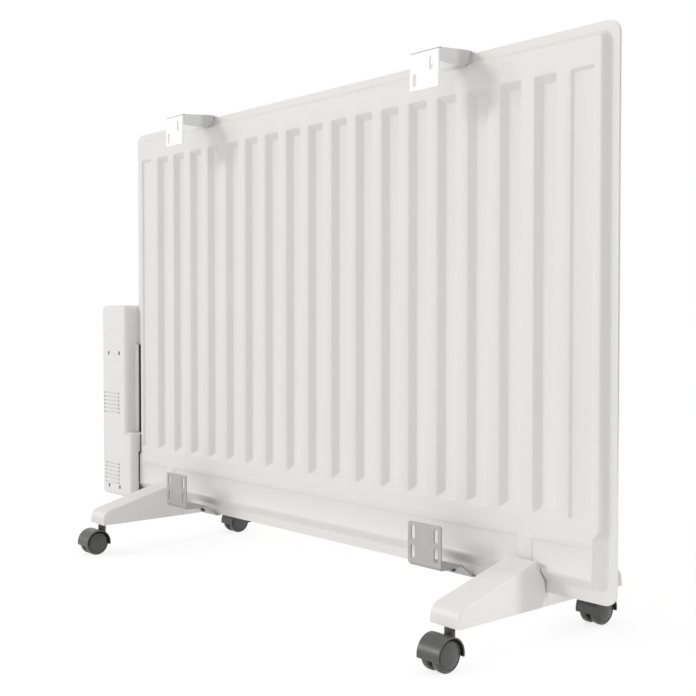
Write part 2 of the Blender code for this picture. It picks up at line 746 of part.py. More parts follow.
def wheel_profile():
    """A wheel's outline from the tip of its cap, round the tread, to the floor of its bore."""
    inner = WEB_THICKNESS / 2 + PLAY
    face = inner + WHEEL_TREAD
    cap = face + WHEEL_CAP_RISE
    dome = [(WHEEL_CAP_RADIUS * math.sin(a), cap - WHEEL_CAP_RISE / 2 * (1 - math.cos(a)))
            for a in (math.radians(step * 90 / CORNER_STEPS) for step in range(CORNER_STEPS + 1))]
    groove = WHEEL_CAP_RADIUS + WHEEL_EDGE / 2
    return dome + [(WHEEL_CAP_RADIUS, face - WHEEL_CAP_GROOVE), (groove, face - WHEEL_CAP_GROOVE),
                   (groove, face), (WHEEL_RADIUS - WHEEL_EDGE, face),
                   (WHEEL_RADIUS, face - WHEEL_EDGE), (WHEEL_RADIUS, inner + WHEEL_EDGE),
                   (WHEEL_RADIUS - WHEEL_EDGE, inner), (AXLE_RADIUS + GAP, inner),
                   (AXLE_RADIUS + GAP, AXLE_HALF_LENGTH + GAP), (0, AXLE_HALF_LENGTH + GAP)]


def hood_mesh(name):
    """The caster's hood: a half drum on its side, with the stem's boss standing on it."""
    drop = math.degrees(math.asin(HOOD_DROP / HOOD_RADIUS))
    outer = arc((0, 0), HOOD_RADIUS, -drop, 180 + drop, HOOD_STEPS // 2)
    return outline_mesh(name, outer, 2 * HOOD_HALF_WIDTH, ALONG)


def caster(name, x, y, parent):
    """A twin-wheel caster: its stem in the foot, the hood that swivels, the axle and two wheels."""
    stem_top = FOOT_UNDERSIDE + STEM_DEPTH
    collar = FOOT_UNDERSIDE - GAP
    bore_floor = AXLE_HEIGHT + math.sqrt(HOOD_RADIUS ** 2 - TRAIL ** 2) + BOSS_FLOOR
    stem_end = bore_floor + GAP
    tip = STEM_RADIUS - STEM_CHAMFER
    profile = [(0, stem_top), (tip, stem_top), (STEM_RADIUS, stem_top - STEM_CHAMFER),
               (STEM_RADIUS, collar), (STEM_COLLAR_RADIUS, collar),
               (STEM_COLLAR_RADIUS, collar - STEM_COLLAR),
               (STEM_RADIUS, collar - STEM_COLLAR), (STEM_RADIUS, stem_end + STEM_CHAMFER),
               (tip, stem_end), (0, stem_end)]
    turned(f"{name}_stem", profile, STEEL_GREY, PLATED, parent, (x, y, 0), ROUND_STEPS)

    swivel = group(f"{name}_swivel", (x, y, 0), parent)
    hub = group(f"{name}_hub", (0, TRAIL, AXLE_HEIGHT), swivel)
    hood = piece(f"{name}_hood", hood_mesh("hood"), CASTER_GREY, GLOSSY, swivel, (0, TRAIL, AXLE_HEIGHT))
    boss = helper(f"{name}_boss",
                  rod_mesh("boss", BOSS_RADIUS, AXLE_HEIGHT + HOOD_RADIUS / 3, BOSS_TOP), swivel)
    boolean(hood, boss, "UNION")
    room = helper(f"{name}_room",
                  rod_mesh("room", HOOD_RADIUS - HOOD_WALL, -HOOD_HALF_WIDTH - OVERRUN,
                           HOOD_HALF_WIDTH + OVERRUN, "X", (0, 0), HOOD_STEPS), hub)
    boolean(hood, room, "DIFFERENCE")
    web_radius = HOOD_RADIUS - HOOD_WALL / 2
    drop = math.degrees(math.asin(HOOD_DROP / web_radius))
    web_points = (arc((0, 0), web_radius, -drop, 180 + drop, HOOD_STEPS // 2)
                  + arc((0, 0), HUB_RADIUS, 215, 325, SLOT_STEPS))
    web = helper(f"{name}_web", outline_mesh("web", web_points, WEB_THICKNESS, ALONG), hub)
    boolean(hood, web, "UNION")
    axle_bore = helper(f"{name}_axle_bore",
                       rod_mesh("axle_bore", AXLE_RADIUS + GAP, -WEB_THICKNESS, WEB_THICKNESS, "X"), hub)
    boolean(hood, axle_bore, "DIFFERENCE")
    stem_bore = helper(f"{name}_stem_bore",
                       rod_mesh("stem_bore", STEM_RADIUS + GAP, bore_floor, BOSS_TOP + OVERRUN), swivel)
    boolean(hood, stem_bore, "DIFFERENCE")

    piece(f"{name}_axle", rod_mesh("axle", AXLE_RADIUS, -AXLE_HALF_LENGTH, AXLE_HALF_LENGTH, "X"),
          STEEL_GREY, PLATED, swivel, (0, TRAIL, AXLE_HEIGHT))
    for word, side in (("left", -1), ("right", 1)):
        turned(f"{name}_{word}_wheel", wheel_profile(), CASTER_GREY, GLOSSY, swivel,
               (0, TRAIL, AXLE_HEIGHT), WHEEL_STEPS, side)


def box_corners():
    """The control box's outline from behind: an upright box with a block that reaches over the panel."""
    return [(BLOCK_FACE, BOX_BOTTOM), (BOX_OUTER, BOX_BOTTOM), (BOX_OUTER, BOX_TOP), (BOX_INNER, BOX_TOP),
            (BOX_INNER, BLOCK_TOP), (BLOCK_FACE, BLOCK_TOP)]


def screw_places():
    """The control box's four screws, as (x, z)."""
    x = BOX_INNER + SCREW_MARGIN
    return [(x + column * SCREW_SPACING, z)
            for column in (0, 1) for z in (BOX_BOTTOM + SCREW_RISE, BOX_TOP - SCREW_DROP)]


def box_shell(name, side, depth, parent):
    """A half shell of the control box, open towards the other half."""
    corners = box_corners()
    radius = BOX_CORNER_RADIUS
    start, end = sorted((side * GAP / 2, side * depth))
    radii = [radius, radius, radius, radius, 0, 0]
    mesh = outline_mesh(name, rounded(corners, radii), end - start, ACROSS, -(start + end) / 2)
    outer_face = side * depth

    def face_edge(a, b):
        on_face = abs(a.y - outer_face) < GAP and abs(b.y - outer_face) < GAP
        return on_face and (a - b).length > 0

    round_edges(mesh, BOX_EDGE_RADIUS, CORNER_STEPS, face_edge)
    shell = piece(name, smooth(mesh), SHELL_WHITE, MOULDED, parent)

    inner = inset(corners, BOX_WALL)
    inner_radii = [radius - BOX_WALL] * 4 + [0, 0]
    start, end = sorted((-side * OVERRUN, side * (depth - BOX_WALL)))
    hollow = outline_mesh("box_hollow", rounded(inner, inner_radii), end - start, ACROSS, -(start + end) / 2)
    inner_face = side * (depth - BOX_WALL)

    def inner_edge(a, b):
        return abs(a.y - inner_face) < GAP and abs(b.y - inner_face) < GAP

    round_edges(hollow, BOX_EDGE_RADIUS - BOX_WALL, 2, inner_edge)
    boolean(shell, helper(f"{name}_hollow", hollow, parent), "DIFFERENCE")
    panel_way(shell, side, parent)
    return shell


def edge_profile(rise, bulge):
    """The panel's edge seen from above, grown by rise: (x, y) points from its end to its field."""
    wall_foot = PANEL_END - FLANGE_BOX_END + bulge
    inner = BLOCK_FACE - BLOCK_REACH
    return [(inner, -OVERRUN), (PANEL_END + GAP, -OVERRUN), (PANEL_END + GAP, FLANGE_FACE + rise),
            (wall_foot, FLANGE_FACE + rise), (wall_foot - WALL_RUN, FIELD_FACE + rise),
            (inner, FIELD_FACE + rise)]


def panel_way(shell, side, parent):
    """Cuts the way for the panel's edge out of a shell's block, along the inlet's bulge and above it."""
    step = PANEL_BOTTOM + INLET_HIGH
    stretches = ((BOX_BOTTOM + BOX_WALL, step, INLET_BULGE), (step - OVERRUN, BLOCK_TOP + OVERRUN, 0))
    for part, (low, high, bulge) in enumerate(stretches):
        points = [(x, side * y) for x, y in edge_profile(SEAL_HEIGHT + 2 * GAP, bulge)]
        mesh = outline_mesh("panel_way", points, high - low, FLAT, (low + high) / 2)
        boolean(shell, helper(f"{shell.name}_panel_way_{part}", mesh, parent), "DIFFERENCE")


def vents(shell, parent):
    """Two groups of shallow slots across the rear shell, each slot open at its end by the panel."""
    start = BOX_INNER + VENT_MARGIN
    for word, level in (("upper", BOX_TOP - VENT_UPPER_DROP), ("lower", BOX_BOTTOM + VENT_LOWER_RISE)):
        for index in range(VENT_COUNT):
            z = level - index * VENT_PITCH
            low = (start, BOX_REAR - VENT_DEPTH, z - VENT_SLOT / 2)
            high = (start + VENT_LENGTH, BOX_REAR + OVERRUN, z + VENT_SLOT / 2)
            groove = helper(f"vent_{word}_{index}", block_mesh("vent", low, high), parent)
            boolean(shell, groove, "DIFFERENCE")
            low = (start, BOX_REAR - BOX_WALL - OVERRUN, z - VENT_SLOT / 2)
            high = (start + VENT_HOLE, BOX_REAR + OVERRUN, z + VENT_SLOT / 2)
            hole = helper(f"vent_hole_{word}_{index}", block_mesh("vent_hole", low, high), parent)
            boolean(shell, hole, "DIFFERENCE")


def screw_bosses(rear, front, parent):
    """The bosses and bores for the four screws, and the screws."""
    seat = BOX_REAR - SCREW_WELL
    for index, (x, z) in enumerate(screw_places()):
        place = (x, z)
        boss_start = seat - 2 * BOX_WALL
        boss = rod_mesh("boss", SCREW_BOSS_RADIUS, boss_start, BOX_REAR - BOX_WALL / 2, "Y", place)
        boolean(rear, helper(f"rear_boss_{index}", boss, parent), "UNION")
        well = rod_mesh("well", SCREW_WELL_RADIUS, seat, BOX_REAR + OVERRUN, "Y", place)
        boolean(rear, helper(f"rear_well_{index}", well, parent), "DIFFERENCE")
        bore = rod_mesh("bore", SCREW_RADIUS + GAP, boss_start - OVERRUN, seat + OVERRUN, "Y", place)
        boolean(rear, helper(f"rear_bore_{index}", bore, parent), "DIFFERENCE")

        tip = boss_start - SCREW_BOSS_GAP
        post = rod_mesh("post", SCREW_BOSS_RADIUS, -BOX_FRONT + BOX_WALL / 2, tip, "Y", place)
        boolean(front, helper(f"front_post_{index}", post, parent), "UNION")
        end = seat + GAP - SCREW_LENGTH
        pilot = rod_mesh("pilot", SCREW_RADIUS + GAP, end - GAP, tip + OVERRUN, "Y", place)
        boolean(front, helper(f"front_pilot_{index}", pilot, parent), "DIFFERENCE")

        shank = rod_mesh("screw", SCREW_RADIUS, end, seat + 2 * GAP, "Y", place)
        screw = piece(f"box_screw_{index + 1}", shank, STEEL_GREY, PLATED, parent)
        head = rod_mesh("screw_head", SCREW_HEAD_RADIUS, seat + GAP, seat + GAP + SCREW_HEAD, "Y", place)
        boolean(screw, helper(f"screw_head_{index}", head, parent), "UNION")


def box_seals(parent):
    """The black seals that close the gap to the panel, and the lip that covers the upper one."""
    wall_foot = PANEL_END - FLANGE_BOX_END
    lip_low = BLOCK_TOP + PLAY
    lip_high = BOX_TOP - LIP_DROP
    lip_end = PANEL_END - LIP_REACH
    box_side = BOX_INNER - GAP
    seal_base = FLANGE_FACE + GAP
    lip_base = seal_base + SEAL_HEIGHT + GAP
    lip_top = lip_base + LIP_THICKNESS
    section = [(lip_end, lip_base), (box_side, lip_base), (box_side, lip_top + LIP_SLOPE),
               (lip_end, lip_top)]
    piece("side_lip", outline_mesh("side_lip", section, lip_high - lip_low, FLAT, (lip_low + lip_high) / 2),
          SHELL_WHITE, MOULDED, parent)
    piece("upper_seal",
          block_mesh("upper_seal", (wall_foot + GAP, seal_base, lip_low),
                     (lip_end + SEAL_TUCK, seal_base + SEAL_HEIGHT, lip_high)), BLACK, SOFT_RUBBER, parent)
    step = PANEL_BOTTOM + INLET_HIGH
    start = PANEL_BOTTOM + FLANGE_BOTTOM + WALL_RUN_BOTTOM
    foot_seal("middle_seal", (step + GAP, BLOCK_TOP - BOX_WALL), FLANGE_FACE, MIDDLE_SEAL_SHOW, parent)
    foot_seal("lower_seal", (start, step - INLET_STEP), FIELD_FACE, SEAL_SHOW, parent)


def foot_seal(name, span, face, show, parent):
    """A seal under the foot of the block's side wall, lying on the panel's face from span[0] to span[1]."""
    mesh = block_mesh(name, (BLOCK_FACE - show, face + GAP, span[0]),
                      (BLOCK_FACE + BOX_WALL / 2, face + GAP + SEAL_HEIGHT, span[1]))
    piece(name, mesh, BLACK, SOFT_RUBBER, parent)


def chassis(parent):
    """The steel plate inside the box, on the posts of the upper screws, and what it carries."""
    half = CHASSIS_THICKNESS / 2
    high = BOX_TOP - CHASSIS_DROP
    low = high - CHASSIS_HEIGHT
    corners = rectangle(BOX_INNER + BOX_WALL + PLAY, BOX_OUTER - BOX_WALL - PLAY, low, high)
    mesh = outline_mesh("chassis_plate", rounded(corners, [BOX_WALL] * 4), CHASSIS_THICKNESS, ACROSS)
    plate = piece("chassis_plate", mesh, STEEL_GREY, PLATED, parent)
    for index, place in enumerate(screw_places()):
        if place[1] < low:
            continue
        hole = rod_mesh("post_hole", SCREW_BOSS_RADIUS + GAP, -OVERRUN, OVERRUN, "Y", place)
        boolean(plate, helper(f"chassis_hole_{index}", hole, parent), "DIFFERENCE")

    seat = half + GAP
    disc = rod_mesh("thermal_cutout", CUTOUT_RADIUS, seat, seat + CUTOUT_DEPTH, "Y",
                    (CHASSIS_MIDDLE, BOX_TOP - CUTOUT_DROP))
    piece("thermal_cutout", disc, BLACK, MOULDED, parent)
    z = BOX_TOP - TIP_DROP
    tip = block_mesh("tip_over_switch", (CHASSIS_MIDDLE - TIP_WIDTH / 2, seat, z - TIP_HEIGHT / 2),
                     (CHASSIS_MIDDLE + TIP_WIDTH / 2, seat + TIP_DEPTH, z + TIP_HEIGHT / 2))
    piece("tip_over_switch", tip, BLACK, MOULDED, parent)
    terminal_block(parent, seat)
    thermostat(parent, seat)


def terminal_block(parent, seat):
    """The block where the lead's and the element's wires meet, with three screw wells."""
    z = BOX_TOP - TERMINAL_DROP
    low = (CHASSIS_MIDDLE - TERMINAL_WIDTH / 2, seat, z - TERMINAL_HEIGHT / 2)
    high = (CHASSIS_MIDDLE + TERMINAL_WIDTH / 2, seat + TERMINAL_DEPTH, z + TERMINAL_HEIGHT / 2)
    made = piece("terminal_block", block_mesh("terminal_block", low, high), INNER_CREAM, MOULDED, parent)
    for index in (-1, 0, 1):
        x = CHASSIS_MIDDLE + index * TERMINAL_WIDTH / 3
        well = rod_mesh("terminal_well", TERMINAL_SCREW_RADIUS, high[1] - TERMINAL_SCREW_DEPTH,
                        high[1] + OVERRUN, "Y", (x, z), 3 * SLOT_STEPS)
        boolean(made, helper(f"terminal_well_{index + 1}", well, parent), "DIFFERENCE")


def thermostat(parent, seat):
    """The thermostat behind the knob, with the bore for the knob's shaft."""
    z = BOX_TOP - KNOB_DROP
    low = (CHASSIS_MIDDLE - THERMOSTAT_SIZE / 2, -seat - THERMOSTAT_DEPTH, z - THERMOSTAT_SIZE / 2)
    high = (CHASSIS_MIDDLE + THERMOSTAT_SIZE / 2, -seat, z + THERMOSTAT_SIZE / 2)
    body = piece("thermostat", block_mesh("thermostat", low, high), INNER_CREAM, MOULDED, parent)
    bore = rod_mesh("shaft_bore", KNOB_SHAFT_RADIUS + GAP, low[1] - OVERRUN,
                    low[1] + KNOB_SHAFT_INSIDE + GAP, "Y", (CHASSIS_MIDDLE, z))
    boolean(body, helper("shaft_bore", bore, parent), "DIFFERENCE")


def knob(front, parent):
    """The thermostat's knob on its shaft, and the hole in the front shell that it passes."""
    z = BOX_TOP - KNOB_DROP
    place = (CHASSIS_MIDDLE, z)
    way = rod_mesh("knob_way", KNOB_SHAFT_RADIUS + PLAY, -BOX_FRONT - OVERRUN,
                   -BOX_FRONT + BOX_WALL + OVERRUN, "Y", place)
    boolean(front, helper("knob_way", way, parent), "DIFFERENCE")
    thermostat_face = -(CHASSIS_THICKNESS / 2 + GAP) - THERMOSTAT_DEPTH
    tail = BOX_FRONT + thermostat_face + KNOB_SHAFT_INSIDE
    top = KNOB_GAP + KNOB_HEIGHT
    tip = KNOB_RADIUS - KNOB_DRAFT
    profile = [(0, top), (tip - KNOB_EDGE, top), (tip, top - KNOB_EDGE), (KNOB_RADIUS, KNOB_GAP),
               (KNOB_SHAFT_RADIUS, KNOB_GAP), (KNOB_SHAFT_RADIUS, -tail), (0, -tail)]
    made = turned("thermostat_knob", profile, SHELL_WHITE, GLOSSY, parent,
                  (CHASSIS_MIDDLE, -BOX_FRONT, z), WHEEL_STEPS)
    made.rotation_euler = (math.pi / 2, 0, 0)
    mark = block_mesh("knob_mark", (-KNOB_MARK_WIDTH / 2, -BOX_FRONT - top - OVERRUN, tip / 3),
                      (KNOB_MARK_WIDTH / 2, -BOX_FRONT - top + KNOB_MARK_DEPTH, tip - KNOB_EDGE))
    cutter = helper("knob_mark", mark, parent, (CHASSIS_MIDDLE, 0, z))
    boolean(made, cutter, "DIFFERENCE")


def rocker_switch(name, z, front, parent):
    """A rocker switch: its frame in the front shell, and the rocker that tips on its middle."""
    half = SWITCH_HEIGHT / 2
    opening = math.hypot(half, SWITCH_FACE) + SWITCH_PLAY
    side = SWITCH_WIDTH / 2 + SWITCH_PLAY
    deep = BOX_FRONT - SWITCH_FACE - SWITCH_BACK - CELL_DEPTH / 2
    frame_low = (CHASSIS_MIDDLE - side - SWITCH_FRAME, -BOX_FRONT - SWITCH_PROUD, z - opening - SWITCH_FRAME)
    frame_high = (CHASSIS_MIDDLE + side + SWITCH_FRAME, -deep, z + opening + SWITCH_FRAME)
    grow = (-GAP, 0, -GAP)
    hole = block_mesh("switch_hole", [a + b for a, b in zip(frame_low, grow)],
                      [a - b for a, b in zip(frame_high, grow)])
    boolean(front, helper(f"{name}_hole", hole, parent), "DIFFERENCE")
    frame = piece(f"{name}_frame", block_mesh("switch_frame", frame_low, frame_high), BLACK, MOULDED, parent)
    room = block_mesh("switch_room", (CHASSIS_MIDDLE - side, -BOX_FRONT - OVERRUN, z - opening),
                      (CHASSIS_MIDDLE + side, -deep - BOX_WALL, z + opening))
    boolean(frame, helper(f"{name}_room", room, parent), "DIFFERENCE")

    pivot = group(f"{name}_pivot", (CHASSIS_MIDDLE, -BOX_FRONT + SWITCH_PROUD, z), parent)
    pivot.rotation_euler = (math.radians(SWITCH_TILT), 0, 0)
    points = [(-SWITCH_FACE, -half), (-SWITCH_FACE + SWITCH_DISH, 0), (-SWITCH_FACE, half)]
    points += [(SWITCH_BACK / 2, half), (SWITCH_BACK, 0), (SWITCH_BACK / 2, -half)]
    mesh = outline_mesh("rocker", points[::-1], SWITCH_WIDTH, ALONG)
    piece(name, mesh, BLACK, GLOSSY, pivot)


def gland(rear, front, parent):
    """The inlet for the lead: a grooved bush held between the two shells, in the box's bottom."""
    place = (CHASSIS_MIDDLE, 0)
    hole = rod_mesh("gland_hole", GLAND_RADIUS + GAP, BOX_BOTTOM - OVERRUN, BOX_BOTTOM + BOX_WALL + OVERRUN,
                    "Z", place)
    for shell in (rear, front):
        boolean(shell, helper(f"{shell.name}_gland_hole", hole, parent), "DIFFERENCE")
    below = BOX_BOTTOM - GAP
    above = BOX_BOTTOM + BOX_WALL + GAP
    rim = GLAND_FLANGE_RADIUS
    profile = [(GLAND_BORE, above + GLAND_LENGTH), (GLAND_RADIUS - GLAND_FLANGE, above + GLAND_LENGTH),
               (GLAND_RADIUS - GLAND_FLANGE, above + GLAND_FLANGE), (rim, above + GLAND_FLANGE), (rim, above),
               (GLAND_RADIUS, above), (GLAND_RADIUS, below), (rim, below), (rim, below - GLAND_FLANGE),
               (GLAND_BORE, below - GLAND_FLANGE), (GLAND_BORE, above + GLAND_LENGTH)]
    turned("lead_inlet_bush", profile, BLACK, SOFT_RUBBER, parent, (*place, 0), ROUND_STEPS)


def control_box(parent):
    """The control box with everything in it."""
    rear = box_shell("box_rear_shell", 1, BOX_REAR, parent)
    front = box_shell("box_front_shell", -1, BOX_FRONT, parent)
    screw_bosses(rear, front, parent)
    vents(rear, parent)
    box_seals(parent)
    chassis(parent)
    knob(front, parent)
    rocker_switch("lower_rocker", BOX_TOP - SWITCH_DROP - SWITCH_PITCH, front, parent)
    rocker_switch("upper_rocker", BOX_TOP - SWITCH_DROP, front, parent)
    gland(rear, front, parent)
    even_shading(rear)
    even_shading(front)


def top_bracket(name, x, parent):
    """An upper bracket: a slotted plate bent into a strap that hooks over the panel, with a web."""
    holder = group(f"{name}_place", (x + TOP_BRACKET_SHIFT, 0, 0), parent)
    middle = WALL_PLANE - STEEL / 2
    high = PANEL_TOP - TOP_PLATE_DROP
    low = high - TOP_PLATE_HEIGHT
    strap = PANEL_TOP + GAP + STEEL / 2
    lip_y = -FLANGE_FACE - GAP - STEEL / 2
    lip_low = PANEL_TOP - FLANGE + TOP_LIP_CLEARANCE
    path = [(middle, low), (middle, high), (TOP_HOOK_REACH, strap), (lip_y, strap), (lip_y, lip_low)]
    widths = [TOP_PLATE_WIDTH] * 2 + [TOP_HOOK_WIDTH] * 3
    bracket = piece(name, bent_strip(name, path, widths), BRACKET_WHITE, ENAMEL, holder)
    fold(bracket)
    web_low = high - TOP_WEB_HEIGHT
    field_high = PANEL_TOP - FLANGE - WALL_RUN
    outer = FIELD_FACE + TOP_WEB_CLEARANCE
    inner = FLANGE_FACE + TOP_WEB_CLEARANCE
    points = [(middle, web_low), (middle, high), (TOP_HOOK_REACH, strap), (inner, strap),
              (inner, PANEL_TOP - FLANGE), (outer, field_high), (outer, web_low)]
    side = -TOP_PLATE_WIDTH / 2 + STEEL / 2
    slant = (TOP_PLATE_WIDTH - TOP_HOOK_WIDTH) / 2
    web = outline_mesh("web", points[::-1], STEEL, ALONG, side)
    lean_web(web, middle, outer, slant)
    boolean(bracket, helper(f"{name}_web", web, holder), "UNION")
    centre = (high + low) / 2 - TOP_SLOT_DROP
    for index, sign in enumerate((-1, 1)):
        place = (TOP_SLOT_SHIFT + sign * TOP_SLOT_SPREAD / 2, centre - sign * TOP_SLOT_RISE / 2)
        outline = slot_outline(place, TOP_SLOT_WIDTH, TOP_SLOT_LENGTH)
        slot = outline_mesh("slot", outline, 4 * STEEL, ACROSS, -WALL_PLANE)
        boolean(bracket, helper(f"{name}_slot_{index}", slot, holder), "DIFFERENCE")


def lean_web(mesh, start, end, shift):
    """Leans a web inwards from start to end, along the strap's narrowing side."""
    for vert in mesh.vertices:
        share = min(1, (start - vert.co.y) / (start - end))
        vert.co.x += shift * share


def fold(made):
    """Gives a bent strip the thickness of its steel."""
    skin = made.modifiers.new("sheet metal", "SOLIDIFY")
    skin.thickness = STEEL
    skin.offset = 0
    skin.use_even_offset = True


def bent_strip(name, path, widths):
    """A strip bent along (y, z) points, as wide at each point as widths says; an open surface."""
    bm = bmesh.new()
    rows = [[bm.verts.new((side * width / 2, y, z)) for side in (-1, 1)]
            for (y, z), width in zip(path, widths)]
    for (a, b), (c, d) in zip(rows, rows[1:]):
        bm.faces.new((a, b, d, c))
    mesh = bpy.data.meshes.new(name)
    bm.to_mesh(mesh)
    bm.free()
    return mesh


def bottom_bracket(name, x, parent):
    """A lower bracket: a plate with four slots, bent into an arm that hooks under the panel."""
    holder = group(f"{name}_place", (x, 0, 0), parent)
    middle = WALL_PLANE - STEEL / 2
    plate_low = PANEL_BOTTOM + LOW_PLATE_RISE
    plate_high = plate_low + LOW_PLATE_HEIGHT
    arm = PANEL_BOTTOM + LOW_ARM_RISE
    under = PANEL_BOTTOM - GAP - STEEL / 2
    lip_y = -FLANGE_FACE - GAP - STEEL / 2
    bend = arc((middle - LOW_ARM_BEND, arm + LOW_ARM_BEND), LOW_ARM_BEND, 0, -90, CORNER_STEPS)
    path = [(middle, plate_high)] + bend
    path += [(LOW_ARM_INNER, arm), (LOW_HOOK_OUTER, under), (lip_y, under), (lip_y, under + LOW_HOOK_LIP)]
    widths = [LOW_PLATE_WIDTH] * 2 + [LOW_ARM_WIDTH] * len(bend) + [LOW_HOOK_WIDTH] * 3
    bracket = piece(name, bent_strip(name, path, widths), BRACKET_GREY, PLATED, holder)

    def plate_corner(a, b):
        return a.z > plate_high - GAP and b.z > plate_high - GAP

    round_corners(bracket.data, LOW_CORNER_RADIUS, plate_corner)
    fold(bracket)
    centre = (plate_low + plate_high) / 2
    for row in (-1, 1):
        for column in (-1, 1):
            outline = slot_outline((column * LOW_SLOT_SPREAD / 2, centre + row * LOW_SLOT_PITCH / 2),
                                   LOW_SLOT_WIDTH, LOW_SLOT_LENGTH)
            slot = outline_mesh("slot", outline, 4 * STEEL, ACROSS, -WALL_PLANE)
            boolean(bracket, helper(f"{name}_slot_{row}_{column}", slot, holder), "DIFFERENCE")

    middle = (LOW_ARM_INNER + LOW_HOOK_OUTER) / 2
    place = group(f"{name}_screw_place", (0, middle, (arm + under) / 2), holder)
    place.rotation_euler = (math.atan2(arm - under, LOW_ARM_INNER - LOW_HOOK_OUTER), 0, 0)
    hole = rod_mesh("screw_hole", LOW_SCREW_RADIUS + GAP, -2 * STEEL, 2 * STEEL)
    boolean(bracket, helper(f"{name}_screw_hole", hole, place), "DIFFERENCE")
    head = -STEEL / 2 - GAP
    top = STEEL / 2 + LOW_SCREW_TIP
    profile = [(0, top), (LOW_SCREW_RADIUS, top), (LOW_SCREW_RADIUS, head), (LOW_SCREW_HEAD_RADIUS, head),
               (LOW_SCREW_HEAD_RADIUS, head - LOW_SCREW_HEAD / 2),
               (LOW_SCREW_HEAD_RADIUS / 2, head - LOW_SCREW_HEAD), (0, head - LOW_SCREW_HEAD)]
    turned(f"{name}_screw", profile, BLACK, MOULDED, place, (0, 0, 0), ROUND_STEPS)


def round_corners(mesh, radius, chosen):
    """Rounds the corners at the ends of the chosen edges of an open surface."""
    bm = bmesh.new()
    bm.from_mesh(mesh)
    corners = {vert for edge in bm.edges if chosen(edge.verts[0].co, edge.verts[1].co) for vert in edge.verts}
    bmesh.ops.bevel(bm, geom=list(corners), offset=radius, segments=CORNER_STEPS, affect="VERTICES",
                    profile=0.5)
    bm.to_mesh(mesh)
    bm.free()


clear_scene()
PIECES = collection("panel_radiator")
CUTTERS = collection("cutters")
ROOT = group("radiator", (SHIFT_X, SHIFT_Y, 0))
PLUG_HOLE = plug_hole(ROOT)

panel_sheet("rear_sheet", 1, ROOT)
panel_sheet("front_sheet", -1, ROOT)
element(ROOT)
for end_word, end_side in (("left", -1), ("right", 1)):
    foot_x = end_side * FOOT_SPACING / 2
    foot(f"{end_word}_foot", foot_x, ROOT)
    caster(f"{end_word}_rear_caster", foot_x, STEM_SPACING / 2, ROOT)
    caster(f"{end_word}_front_caster", foot_x, -STEM_SPACING / 2, ROOT)
    top_bracket(f"{end_word}_top_bracket", end_side * BRACKET_SPACING / 2, ROOT)
    bottom_bracket(f"{end_word}_bottom_bracket", end_side * BRACKET_SPACING / 2, ROOT)
control_box(ROOT)
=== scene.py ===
"""The looks of an oil-filled panel radiator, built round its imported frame.

Every size is in metres in the frame's own axes: +X runs along the panel to the control box,
+Y points to the wall side with the four brackets, and +Z is up.
"""
import json
import logging
import math
from collections.abc import Callable, Sequence
from dataclasses import dataclass
from enum import Enum
from typing import NamedTuple

import bmesh
import bpy
import numpy as np
from bmesh.types import BMesh
from bpy.types import ID, Material, Mesh, Node, NodeSocket, NodeTree, Object
from mathutils import Matrix, Vector

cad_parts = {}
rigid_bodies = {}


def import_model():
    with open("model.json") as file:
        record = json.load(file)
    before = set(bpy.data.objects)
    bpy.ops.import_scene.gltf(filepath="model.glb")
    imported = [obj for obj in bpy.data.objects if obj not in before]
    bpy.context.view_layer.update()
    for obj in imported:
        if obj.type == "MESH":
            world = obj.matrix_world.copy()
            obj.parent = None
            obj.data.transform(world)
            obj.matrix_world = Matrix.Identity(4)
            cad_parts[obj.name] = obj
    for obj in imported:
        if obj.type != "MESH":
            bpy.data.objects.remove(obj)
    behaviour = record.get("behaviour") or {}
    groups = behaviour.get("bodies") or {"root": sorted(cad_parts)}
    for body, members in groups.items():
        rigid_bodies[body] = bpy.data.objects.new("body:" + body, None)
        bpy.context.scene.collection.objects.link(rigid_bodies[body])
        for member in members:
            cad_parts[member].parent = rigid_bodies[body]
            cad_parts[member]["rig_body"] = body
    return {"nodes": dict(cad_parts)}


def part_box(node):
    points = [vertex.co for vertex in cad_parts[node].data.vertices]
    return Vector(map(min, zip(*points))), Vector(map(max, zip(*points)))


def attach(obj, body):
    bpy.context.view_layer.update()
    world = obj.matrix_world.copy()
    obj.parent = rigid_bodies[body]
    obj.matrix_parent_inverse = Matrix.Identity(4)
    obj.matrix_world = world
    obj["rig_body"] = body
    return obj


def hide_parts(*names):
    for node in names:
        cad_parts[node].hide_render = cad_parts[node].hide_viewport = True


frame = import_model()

log = logging.getLogger("radiator")

MM = 0.001
# meshes that touch keep a hair between them, a cutter overruns what it cuts, and what is tiny is nothing
HAIR = 0.3 * MM
TINY = HAIR / 100
OVERRUN = 2 * MM
# above 50, large faces count for more where the shading is evened
FLAT_WEIGHT = 80
# the bevel profile that is an arc of a circle
CIRCULAR = 0.5
# most of a noise texture lies between these
NOISE_LOW, NOISE_HIGH = 0.35, 0.65

Point = tuple[float, float]
Triple = tuple[float, float, float]
Outline = Sequence[Point]
EdgeTest = Callable[[Vector, Vector], bool]
Steps = tuple[int, int]


class Lie(Enum):
    """How a flat outline lies before it is given its depth."""

    ACROSS = Matrix(((1, 0, 0, 0), (0, 0, -1, 0), (0, 1, 0, 0), (0, 0, 0, 1)))
    ALONG = Matrix(((0, 0, 1, 0), (1, 0, 0, 0), (0, 1, 0, 0), (0, 0, 0, 1)))
    FLAT = Matrix.Identity(4)


class Side(Enum):
    """A side of the panel: the wall side is rear, the room side is front."""

    REAR = 1
    FRONT = -1


def linear(colour: str) -> tuple[float, float, float, float]:
    """Turns an sRGB hex colour into Blender's linear values.

    Args:
        colour: Six hex digits after a hash.

    Returns:
        Red, green, blue and an alpha of 1.
    """
    values = [int(colour[start:start + 2], 16) / 255 for start in (1, 3, 5)]
    red, green, blue = (v / 12.92 if v <= 0.04045 else ((v + 0.055) / 1.055) ** 2.4 for v in values)
    return red, green, blue, 1.0


